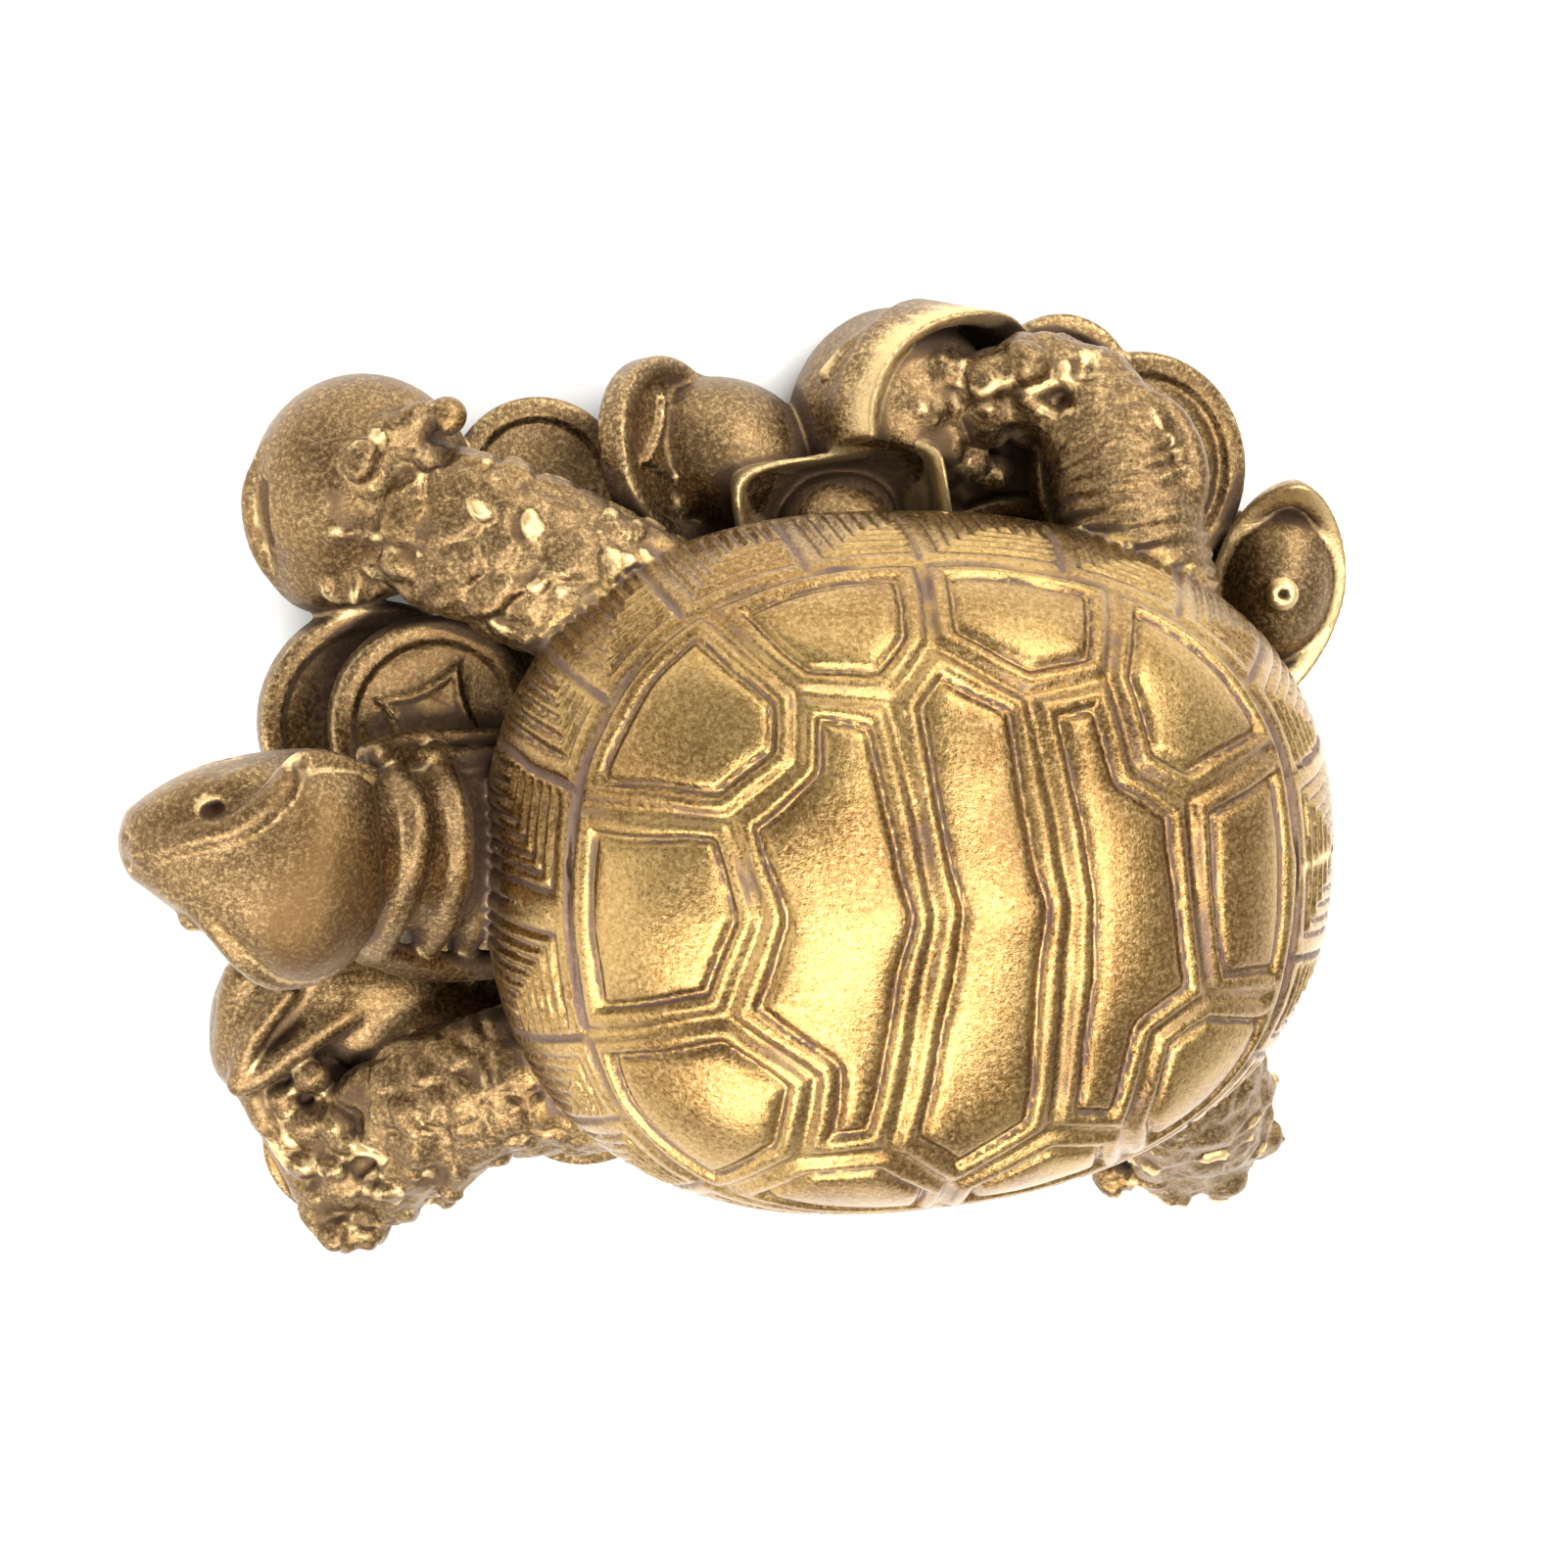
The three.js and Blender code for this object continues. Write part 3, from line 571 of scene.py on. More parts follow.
# %% Toes, lumps and folds: x, y, z and radius
TOE = 1.3
LUMPS = [
    (-25.7, 20.3, 8.2, 1.25), (-24.2, 21.6, 7.7, 1.1), (-22.8, 22.0, 7.8, 1.1), (-21.4, 22.3, 7.9, 1.0),
    (-27.0, 18.9, 7.6, 1.1), (-26.9, 16.9, 7.7, 1.1), (-26.5, 14.2, 6.7, 1.3), (-25.2, 14.2, 7.0, 1.1),
    (-29.0, -10.9, 5.8, 1.1), (-29.2, -13.5, 5.4, 1.2), (-29.5, -15.2, 4.8, 1.0), (-28.2, -14.9, 6.0, 1.1),
    (-28.5, -17.1, 4.8, 1.2), (-27.7, -19.2, 4.4, 1.3), (-26.4, -19.3, 4.2, 1.0), (-25.6, -15.8, 6.8, 1.3),
    (-26.2, -12.7, 7.6, 1.2), (-24.9, -17.9, 4.8, 1.3), (-23.0, -17.2, 5.2, 1.1), (-27.4, -16.8, 5.4, 1.0),
    (7.3, 23.7, 6.9, 1.2), (8.5, 23.6, 7.3, 1.15), (6.0, 22.3, 6.6, 1.25), (6.2, 20.7, 6.3, 1.2),
    (4.6, 19.2, 5.2, 1.1), (9.4, 22.6, 7.6, 1.0), (5.4, 19.9, 4.4, 1.2), (7.8, 19.6, 5.2, 1.1),
    (7.2, 23.2, 7.9, 1.5), (5.4, 22.4, 7.9, 1.4), (3.4, 22.9, 7.2, 1.1), (2.4, 21.3, 7.6, 1.1),
    (3.4, 19.4, 7.3, 1.2), (4.9, 18.2, 6.2, 1.1), (6.2, 17.6, 5.4, 1.0), (2.2, 19.6, 6.8, 0.8),
    (-28.8, -18.2, 4.2, 1.3), (-28.9, -17.3, 3.6, 1.3), (-26.5, -18.7, 4.0, 1.4), (-31.0, -13.2, 4.3, 1.1),
    (-30.5, -12.1, 5.0, 0.9), (-30.2, -14.4, 4.6, 1.0),
    (11.9, -19.2, 3.9, TOE), (14.8, -20, 4.1, TOE), (17.5, -19.8, 4.1, TOE), (19.4, -17.6, 4.3, TOE),
]
for x, y, z, radius in LUMPS:
    egg(animal, (x, y, z), (radius, radius, 0.9 * radius), soft=0.5)
FOLDS = [
    ([(-26.6, -13.9, 7.4), (-25.9, -14.6, 7.7), (-26.2, -15.7, 7.2), (-25.6, -16.9, 6.3)], 0.55),
    ([(-24.8, -11.9, 9.3), (-24.5, -13.6, 9.0), (-24.7, -16.2, 7.4)], 0.85),
    ([(-22.7, -12.3, 9.8), (-22.4, -14.4, 9.3), (-22.6, -16.4, 7.6)], 0.75),
    ([(12.2, -17.2, 6.8), (14.2, -18.0, 6.2), (16.6, -17.9, 6.2), (18.6, -16.2, 6.9), (19, -13.8, 8.2)],
     0.5),
]
for points, radius in FOLDS:
    rope(animal, points, radius, 0.3)
HOLLOWS = [
    ((-23.4, 20.9, 9.5), (1.2, 0.5, 0.6)), ((-25.9, 15.9, 8.9), (0.9, 0.5, 0.7)),
    ((-27.5, -12.4, 7.9), (0.5, 0.9, 0.8)), ((-26.9, -15.2, 7.4), (0.6, 0.7, 0.8)),
    ((-26.9, -18.2, 5.8), (0.5, 0.5, 0.6)), ((8.6, 21.6, 9.1), (0.7, 0.6, 0.8)),
    ((10.2, 23.0, 9.0), (0.5, 0.6, 0.5)), ((6.9, 19.4, 7.2), (0.8, 0.7, 1.0)),
    ((4.2, 20.7, 8.6), (0.7, 0.4, 0.6)), ((1.9, 22.4, 8.6), (0.4, 0.4, 0.5)),
    ((6.2, 21.2, 8.8), (0.4, 0.7, 0.5)),
]
for at, radii in HOLLOWS:
    egg(animal, at, radii, soft=0.7, carve=True)
SLOTS = [
    ([(-24.2, 21.0, 8.9), (-23.2, 20.8, 9.1), (-22.2, 20.6, 9.1)], 0.4),
    ([(-23.9, 19.9, 9.8), (-25.1, 19.1, 9.5), (-25.4, 17.7, 9.6)], 0.45),
    ([(-26.4, 15.8, 8.5), (-25.5, 15.6, 9.4), (-24.6, 16.0, 10.3)], 0.45),
    ([(-28.4, 18.3, 8.0), (-27.2, 18.1, 8.6), (-26.2, 18.1, 9.0)], 0.35),
    ([(-27.4, 14.8, 7.4), (-27.1, 14.1, 7.5), (-26.8, 13.4, 7.5)], 0.4),
    ([(-23.5, -12.2, 10.7), (-23.4, -13.6, 10.3), (-23.5, -15.2, 9.2)], 0.35),
]
for points, radius in SLOTS:
    rope(animal, points, radius, 0.6, carve=True)
tell("feet:", len(LUMPS), "lumps", len(HOLLOWS), "hollows")

# %% [markdown]
# ### Skin of the legs
# The legs are scaly all over, but the right hind one has wavy ridges across it. Scales placed one by one
# would look too regular. So the scales are a pattern in space: points are scattered, and a crack runs
# wherever two of them are equally near. It is pressed into the clay near the skin, toes included.

# %% Uneven patterns


def unevenness(points, size, seed):
    """Smooth random values between -1 and 1, with lumps of the given size."""
    lattice = np.random.default_rng(seed).uniform(-1, 1, (32, 32, 32)).astype(np.float32)
    spot = points / size + 500
    base = np.floor(spot).astype(np.int32)
    share = (spot - base).astype(np.float32)
    share = share * share * (3 - 2 * share)
    total = np.zeros(len(points), np.float32)
    for corner in product((0, 1), repeat=3):
        weight = np.prod([share[:, i] if corner[i] else 1 - share[:, i] for i in range(3)], axis=0)
        cell = (base + np.array(corner)) % 32
        total += weight * lattice[cell[:, 0], cell[:, 1], cell[:, 2]]
    return total


def cracks(points, size, seed):
    """The cracks between scales of about the given size: 1 in a crack and 0 beside it."""
    scatter = np.random.default_rng(seed).uniform(0.1, 0.9, (16, 16, 16, 3)).astype(np.float32)
    spot = (points / size + 100).astype(np.float32)
    base = np.floor(spot).astype(np.int32)
    nearest = np.full(len(points), 9, np.float32)
    second = nearest.copy()
    for step in product((-1, 0, 1), repeat=3):
        cell = base + np.array(step)
        away = np.linalg.norm(spot - cell - scatter[tuple((cell % 16).T)], axis=1)
        second = np.minimum(second, np.maximum(nearest, away))
        nearest = np.minimum(nearest, away)
    return np.exp(-((second - nearest) / 0.2) ** 2)


# %% Skin pressed into the legs
SKIN_REACH = 5.6
SCALE, GRIT = 2.1, 1.0
SCALE_CRACK, GRIT_CRACK = 0.22, 0.06
RIDGE_HEIGHT = 0.21
RIDGE_STEP = 0.86
RIDGES_END = 8.8


def along_limb(points, stations):
    """How far along a limb points lie, and how far from its middle line, in millimetres."""
    path = smooth_path(stations)[:, :3]
    passed, run, off = 0, np.zeros(len(points)), np.full(len(points), 99.0)
    for start, end in zip(path, path[1:]):
        length = np.linalg.norm(end - start)
        share = np.clip((points - start) @ (end - start) / length**2, 0, 1)
        away = np.linalg.norm(points - start - share[:, None] * (end - start), axis=1)
        run = np.where(away < off, passed + share * length, run)
        off = np.minimum(off, away)
        passed += length
    return run, off


def scaly(places, run):
    lumps = 0.26 * unevenness(places, 1.3, 15) + 0.1 * unevenness(places, 0.6, 16)
    return lumps - SCALE_CRACK * cracks(places, SCALE, 11) - GRIT_CRACK * cracks(places, GRIT, 12)


def ridged(places, run):
    wave = run + 0.5 * unevenness(places, 2.2, 13)
    strong = 0.6 + 0.4 * unevenness(places, 1.5, 14)
    ridge = np.sin(2 * math.pi * wave / RIDGE_STEP)
    foot = np.clip((run - RIDGES_END) / 1.5, 0, 1)
    leg = RIDGE_HEIGHT * strong * ridge + 0.08 * unevenness(places, 0.6, 16)
    return (1 - foot) * leg + 0.7 * foot * scaly(places, run)


def press_skin(stations, pattern):
    path = smooth_path(stations)[:, :3]
    part, x, y, z = animal.window(path.min(axis=0) - SKIN_REACH, path.max(axis=0) + SKIN_REACH)
    block = animal.field[part]
    near = np.argwhere(np.abs(block) < 0.9)
    corner = np.array([x.ravel()[0], y.ravel()[0], z.ravel()[0]])
    places = (corner + CELL * near).astype(np.float32)
    run, off = along_limb(places, stations)
    strength = np.clip(SKIN_REACH - off, 0, 1)
    block[tuple(near.T)] -= (strength * pattern(places, run)).astype(np.float32)


for name, stations in LEGS.items():
    press_skin(stations, ridged if name == "right hind" else scaly)
SMOOTH_BAND = [
    (12.0, 22.0, 9.3), (13.8, 20.9, 10.0), (14.6, 19.6, 10.5), (15.0, 18.2, 10.7), (14.9, 16.8, 10.9),
    (14.2, 15.2, 11.2),
]
rope(animal, SMOOTH_BAND, (0.3, 0.7, 0.8, 0.8, 0.8, 0.7), 0.5)
tell("skin")

# %% [markdown]
# ## Neck and head
# The neck comes out from under the front of the shell, rises and carries folds of loose skin. Each fold is
# a rope laid over the neck, with thinner strands on it for the creases.

# %% Neck
NECK = [
    (-17, 0.6, 8.8, 4.3, 3.9), (-20, 1.0, 9.2, 4.2, 3.8), (-22.8, 1.4, 10.8, 4.0, 3.7),
    (-25.2, 2.0, 12.9, 3.8, 3.5), (-27.5, 2.5, 14.8, 3.6, 3.2), (-29, 2.7, 16.2, 3.6, 3.2),
]
FOLD_1 = [
    (-25.6, 6.0, 12.2), (-25.3, 5.4, 14.4), (-24.8, 4.4, 15.9), (-25, 2.9, 16.6), (-25.5, 1.2, 16.5),
    (-26.1, -0.6, 15.7), (-26.6, -2.2, 14.0), (-26.8, -2.8, 12.2),
]
FOLD_2 = [
    (-23.0, 5.9, 10.4), (-22.8, 5.1, 12.6), (-22.6, 4.3, 13.9), (-22.6, 2.7, 14.8), (-22.8, 0.9, 14.8),
    (-23.2, -1.0, 14.0), (-23.8, -2.6, 12.2), (-24.2, -3.2, 10.4),
]
FOLD_3 = [
    (-20.9, 5.2, 9.6), (-20.8, 3.8, 11.9), (-20.8, 1.8, 12.9), (-21.1, -0.1, 12.9), (-21.4, -2.0, 12.0),
    (-21.9, -3.6, 10.0),
]
limb(animal, NECK, soft=1.0)
for fold, radius in ((FOLD_1, 0.95), (FOLD_2, 0.85), (FOLD_3, 0.75)):
    rope(animal, fold, radius, 0.3)
    for strand in range(4):
        shift = np.array([0.42 * (strand - 1.5), 0, 0.55 - 0.2 * abs(strand - 1.5)])
        line = [np.array(point) + shift + chance.normal(0, 0.06, 3) for point in fold[1:-1]]
        rope(animal, line, 0.24, 0.12)
SKIRTS = [
    [(-26.6, -2.4, 14.2), (-24.6, -3.6, 12.2), (-22.2, -4.4, 10.6), (-19.4, -4.6, 9.6)],
    [(-26.9, -2.9, 12.6), (-25.0, -4.2, 10.8), (-22.6, -5.0, 9.2), (-19.6, -5.2, 8.4)],
    [(-26.2, 7.0, 13.8), (-24.4, 6.4, 12.0), (-21.8, 5.9, 10.8), (-19.2, 5.6, 10.0)],
    [(-26.4, 6.6, 12.0), (-24.2, 6.8, 10.2), (-21.6, 6.5, 9.2), (-19.0, 6.2, 8.6)],
]
for points in SKIRTS:
    rope(animal, points, 0.6, 0.4)

# %% [markdown]
# The head is one smooth egg-like form from stations along its length: a blunt beak, a wide brow and a round
# crown. The brows are ropes laid over the eyes, and the mouth is a thin cut round the beak.

# %% Head
HEAD_X, HEAD_Y, HEAD_Z, HEAD_WIDE, HEAD_TALL = zip(
    (-39.1, 4.0, 16.6, 0.8, 0.9), (-38.7, 4.0, 16.6, 1.5, 1.5), (-38.1, 4.0, 16.7, 2.0, 2.0),
    (-36.9, 3.9, 16.9, 2.9, 2.6), (-35, 3.5, 17.1, 4.1, 3.4), (-33.2, 3.0, 17.3, 5.0, 4.0),
    (-31.4, 2.7, 17.5, 5.5, 4.3), (-29.2, 2.8, 17.5, 5.3, 4.2), (-27.8, 3.0, 17.2, 4.6, 3.6),
    (-26.8, 3.1, 16.9, 3.7, 2.8),
)


def head_distance(x, y, z):
    steps = x[:, 0, 0]
    middle_y, middle_z, wide, tall = [
        smooth_steps(steps, HEAD_X, sizes)[:, None, None]
        for sizes in (HEAD_Y, HEAD_Z, HEAD_WIDE, HEAD_TALL)
    ]
    across, rise = (y - middle_y) / wide, (z - middle_z) / tall
    around = (np.abs(across) ** 2.3 + np.abs(rise) ** 2.3) ** (1 / 2.3)
    form = (around - 1) * np.minimum(wide, tall) * 0.95
    ends = np.maximum(HEAD_X[0] - x, x - HEAD_X[-1])
    form = overlap(form, ends, 0.7)
    lips = 16.0 + 0.9 * np.clip((x + 39) / 6, 0, 1) ** 2
    mouth = np.maximum(np.abs(z - lips) - 0.13, -form - 0.5)
    mouth = np.maximum(mouth, x + 33.5)
    return overlap(form, -mouth, 0.15)


animal.add(head_distance, (-40.5, -4.5, 11), (-25, 10, 23), 0.35)

# %% Brows, eyes and nostrils
BROW_R = [
    (-38.2, 3.9, 18.3), (-37.1, 4.3, 19.0), (-35.6, 4.9, 19.9), (-34.0, 5.3, 20.5), (-32.7, 6.1, 20.8),
    (-31.6, 6.9, 20.5), (-31.0, 7.7, 19.9), (-30.1, 8.1, 19.4), (-28.7, 7.8, 18.9), (-27.0, 7.0, 18.2),
]
BROW_L = [
    (-37.0, 2.4, 18.4), (-35.7, 1.3, 18.9), (-35.0, 0.4, 19.2), (-34.2, -0.6, 19.3), (-33.4, -1.5, 19.1),
    (-32.5, -2.3, 18.6), (-31.6, -2.7, 18.1), (-29.9, -2.6, 17.8), (-28.3, -1.8, 17.6),
]
egg(animal, (-34.4, 7.0, 21.4), (2.6, 1.5, 1.6), turned(28), soft=0.7, carve=True)
rope(animal, BROW_R, (0.5, 0.6, 0.65, 0.7, 0.75, 0.7, 0.6, 0.6, 0.5, 0.4), 0.3)
rope(animal, BROW_L, (0.4, 0.5, 0.55, 0.6, 0.65, 0.65, 0.6, 0.55, 0.4), 0.4)
egg(animal, (-33.7, 6.9, 19.0), (1.3, 0.7, 0.6), turned(28), soft=0.4)
egg(animal, (-34.8, 6.1, 19.7), (0.6, 0.34, 0.6), turned(15), soft=0.2, carve=True)
egg(animal, (-36.0, 0.4, 18.0), (0.65, 0.45, 0.5), turned(-48), soft=0.2)
rope(animal, [(-36.9, 1.1, 18.4), (-36.3, 0.1, 18.3), (-35.4, -0.5, 18.4)], 0.14, 0.15, carve=True)
egg(animal, (-30.6, 8.0, 20.3), (0.35, 0.45, 0.4), soft=0.3, carve=True)
for y in (3.35, 4.6):
    egg(animal, (-38.8, y, 17.7), (0.3, 0.13, 0.16), soft=0.3, carve=True)
tell("head done")

# %% Press the animal on the heap
animal.press_on(sculpture, 0.35)
tell("animal done")

# %% [markdown]
# ## The shell
# The dome's formula is turned into a distance, in a block of its own. The relief goes on before the shell
# is pressed down on the animal.

# %% Shell form


def shell_distance(x, y, z):
    reach, power = plan_reach(x, y)
    above_rim = np.maximum(z - RIM_HEIGHT, 0)
    level = np.maximum(above_rim - keel(y, above_rim), 0) / RISE
    form = reach**power + level**ARCH_ROOT
    steep = np.sqrt(sum(slope**2 for slope in np.gradient(form, CELL))) + 0.02
    dome = np.clip((form - 1) / steep, -FAR, FAR)
    return overlap(dome, RIM_HEIGHT - LIP_DEPTH - z, 0.5)


SHELL_LOW, SHELL_HIGH = (-22.6, -18.8, 10.8), (22.6, 18.8, 28.2)
shell = Clay(SHELL_LOW, SHELL_HIGH)
shell.add(shell_distance, SHELL_LOW, SHELL_HIGH, 0.01)
print("shell block", shell.field.shape)

# %% [markdown]
# ### Seams
# The horn plates meet in seams. Each seam is a line through named corners, drawn in plan and lifted onto the
# dome. Five plates run along the spine, four lie on each side of them, and a belt of small ones runs all
# round above the rim.

# %% Corners of the plates, x and y
NECK_R, NECK_L = (-17.3, 5.5), (-17.7, -6)
FIRST_R, FIRST_L = (-11, 5.2), (-11.4, -4.4)
NOTCH_R, NOTCH_L = (-7.7, 7.8), (-7.3, -7.6)
FRONT_TIP_R, FRONT_TIP_L = (-7.4, 11), (-7.9, -12)
SECOND_R, SECOND_L = (-3.1, 10.5), (-3.6, -11.6)
MIDDLE_TIP_R, MIDDLE_TIP_L = (-0.8, 13), (-0.3, -14.1)
THIRD_R, THIRD_L = (3.6, 10.3), (4.3, -11.2)
REAR_TIP_R, REAR_TIP_L = (7.7, 10.8), (8.3, -11.9)
REAR_NOTCH_R, REAR_NOTCH_L = (8.7, 6.5), (9.4, -6.7)
FOURTH_R, FOURTH_L = (11.4, 4.7), (12.3, -5.2)
TAIL_R, TAIL_L = (16.1, 6.1), (15.6, -6)
SPINE = [(-9.6, 0.4), (-1.4, 0.3), (5.2, 0.3), (11.6, 0.2)]
PLATE_SEAMS = [
    [NECK_R, FIRST_R, NOTCH_R, FRONT_TIP_R, SECOND_R, MIDDLE_TIP_R, THIRD_R, REAR_TIP_R, REAR_NOTCH_R,
     FOURTH_R, TAIL_R],
    [NECK_L, FIRST_L, NOTCH_L, FRONT_TIP_L, SECOND_L, MIDDLE_TIP_L, THIRD_L, REAR_TIP_L, REAR_NOTCH_L,
     FOURTH_L, TAIL_L],
    [FIRST_R, SPINE[0], FIRST_L],
    [SECOND_R, SPINE[1], SECOND_L],
    [THIRD_R, SPINE[2], THIRD_L],
    [FOURTH_R, SPINE[3], FOURTH_L],
    [FRONT_TIP_R, (-11.2, 14.5)],
    [FRONT_TIP_L, (-11.2, -14.5)],
    [MIDDLE_TIP_R, (-0.4, 15.9)],
    [MIDDLE_TIP_L, (-0.4, -15.9)],
    [REAR_TIP_R, (8.9, 14.2)],
    [REAR_TIP_L, (8.9, -14.2)],
]
BELT_BORDERS = [0, 22, 37, 54, 73, 89, 109, 127, 142, 161, 180]  # degrees round from the nose
BELT_TOP = 19.6


def belt_top(angle):
    """Height of the belt's upper seam, a little higher over the neck and the tail."""
    return BELT_TOP + np.where(np.cos(angle) > 0, 0.9, 1.6) * np.cos(angle) ** 2


def dome_point(angle, height):
    """The point of the dome at an angle round from the nose and at a height."""
    along, across = np.cos(angle), np.sin(angle)
    stretch = (np.abs(along) ** PLAN_POWER + np.abs(across) ** PLAN_POWER) ** (1 / PLAN_POWER)
    power = ACROSS_POWER + (ALONG_POWER - ACROSS_POWER) * along**2
    level = np.clip((height - RIM_HEIGHT) / RISE, 0, 1)
    reach = (1 - level**ARCH_ROOT) ** (1 / power) / stretch
    x = -reach * along * HALF_LENGTH
    return np.array([x, reach * across * HALF_WIDTH * (1 + TAPER * x / HALF_LENGTH), height])


def lifted(points, step=1.0):
    """A line drawn in plan, cut into short steps that lie on the dome."""
    line = []
    for (x0, y0), (x1, y1) in zip(points, points[1:]):
        count = max(int(math.hypot(x1 - x0, y1 - y0) / step), 1)
        for share in np.arange(count) / count:
            line.append((x0 + (x1 - x0) * share, y0 + (y1 - y0) * share))
    line.append(points[-1])
    plan = np.array(line)
    return np.column_stack([plan, dome_height(plan[:, 0], plan[:, 1])])


plate_lines = [lifted(points) for points in PLATE_SEAMS]
round_angles = np.radians(np.arange(0, 361, 4))
belt_line = np.array([dome_point(angle, belt_top(angle)) for angle in round_angles])
border_lines = []
for degrees in BELT_BORDERS:
    for side in (1, -1):
        angle = math.radians(degrees * side)
        heights = np.linspace(RIM_HEIGHT - 1, belt_top(angle), 6)
        border_lines.append(np.array([dome_point(angle, height) for height in heights]))
print("seams:", len(plate_lines) + 1, "borders in the belt:", len(border_lines))

# %% [markdown]
# ### Bands, grooves and growth rings
# A seam is a groove between two raised bands, and each plate has a second groove just inside its band, round
# a smooth middle. The belt's plates carry growth rings instead, nested like the letter L along their head
# side and their top. All of it is only a few tenths of a millimetre deep, so it is pressed into the clay
# near the surface as a change of distance, read from the distance to the nearest line.

# %% Distance to lines
def distance_to_lines(points, lines):
    nearest = np.full(len(points), 9.0, np.float32)
    for line in lines:
        low, high = line.min(axis=0) - 4, line.max(axis=0) + 4
        close = np.flatnonzero(np.all((points > low) & (points < high), axis=1))
        some = points[close]
        best = nearest[close] ** 2
        for a, b in zip(line, line[1:]):
            a, span = a.astype(np.float32), (b - a).astype(np.float32)
            offset = some - a
            share = np.clip(offset @ span / (span @ span), 0, 1)
            offset -= share[:, None] * span
            best = np.minimum(best, np.einsum("ij,ij->i", offset, offset))
        nearest[close] = np.sqrt(best)
    return nearest

# %% Relief of the shell
BAND_PROFILE = [
    (0, -0.42), (0.16, -0.40), (0.34, -0.06), (0.5, 0.03), (0.72, 0.07), (0.95, 0.02), (1.1, -0.12),
    (1.2, -0.3), (1.38, -0.32), (1.52, -0.14), (1.66, -0.02), (2.2, 0.04), (4.5, 0.12),
]
RING_FIRST = 1.15
RING_STEP = 0.72
RING_DEPTH = 0.25
RING_WIDTH = 0.16
SEAM_WOBBLE = 0.09
near = np.argwhere(np.abs(shell.field) < 1.1)
places = (CORNER + CELL * (shell.first + near)).astype(np.float32)
near, places = near[places[:, 2] > RIM_HEIGHT - 0.8], places[places[:, 2] > RIM_HEIGHT - 0.8]
wobble = np.stack([unevenness(places, 2.2, seed) for seed in (1, 2, 3)], axis=1) * SEAM_WOBBLE
drawn = places + wobble
angle = np.arctan2(drawn[:, 1] / HALF_WIDTH, -drawn[:, 0] / HALF_LENGTH)
below_belt = belt_top(angle) - drawn[:, 2]
to_seam = distance_to_lines(drawn, plate_lines + [belt_line])
to_belt = distance_to_lines(drawn, [belt_line])
to_border = distance_to_lines(drawn, border_lines)
degrees = np.abs(np.degrees(angle))
which = np.clip(np.searchsorted(BELT_BORDERS, degrees) - 1, 0, len(BELT_BORDERS) - 2)
head_side = np.radians(np.array(BELT_BORDERS)[which]) * np.sign(angle)
side_x, side_y, _ = dome_point(head_side, drawn[:, 2])
from_head_side = np.hypot(drawn[:, 0] - side_x, drawn[:, 1] - side_y)
width = 1 + 0.16 * unevenness(places, 3.1, 4)
relief = np.interp(to_seam / width, *zip(*BAND_PROFILE))
ring = np.minimum(from_head_side, to_belt)
phase = (ring - RING_FIRST) / RING_STEP
off_ring = (phase - np.round(np.maximum(phase, 0))) * RING_STEP
rings = np.where(phase > -0.5, np.exp(-((off_ring / RING_WIDTH) ** 2)), 0)
in_belt = np.interp(np.minimum(to_border, to_belt), [0, 0.06, 0.2, 0.36], [-0.3, -0.26, 0, 0.03])
in_belt = in_belt - RING_DEPTH * rings * np.clip((to_border - 0.3) / 0.3, 0, 1)
relief = np.where(below_belt > 0, in_belt, relief)
relief *= np.clip((places[:, 2] - RIM_HEIGHT + 0.8) / 0.8, 0, 1)
shell.field[tuple(near.T)] -= relief.astype(np.float32)
tell("relief over", len(near), "cells")

# %% Press the shell on, and cut the underside flat
shell.press_on(sculpture, 0.3)
part, _, _, z = sculpture.window(CORNER, FAR_CORNER)
sculpture.field[part] = overlap(sculpture.field[part], -z, 0.3)

# %% [markdown]
# ## From clay to metal
# The skin of the clay is found cell by cell.

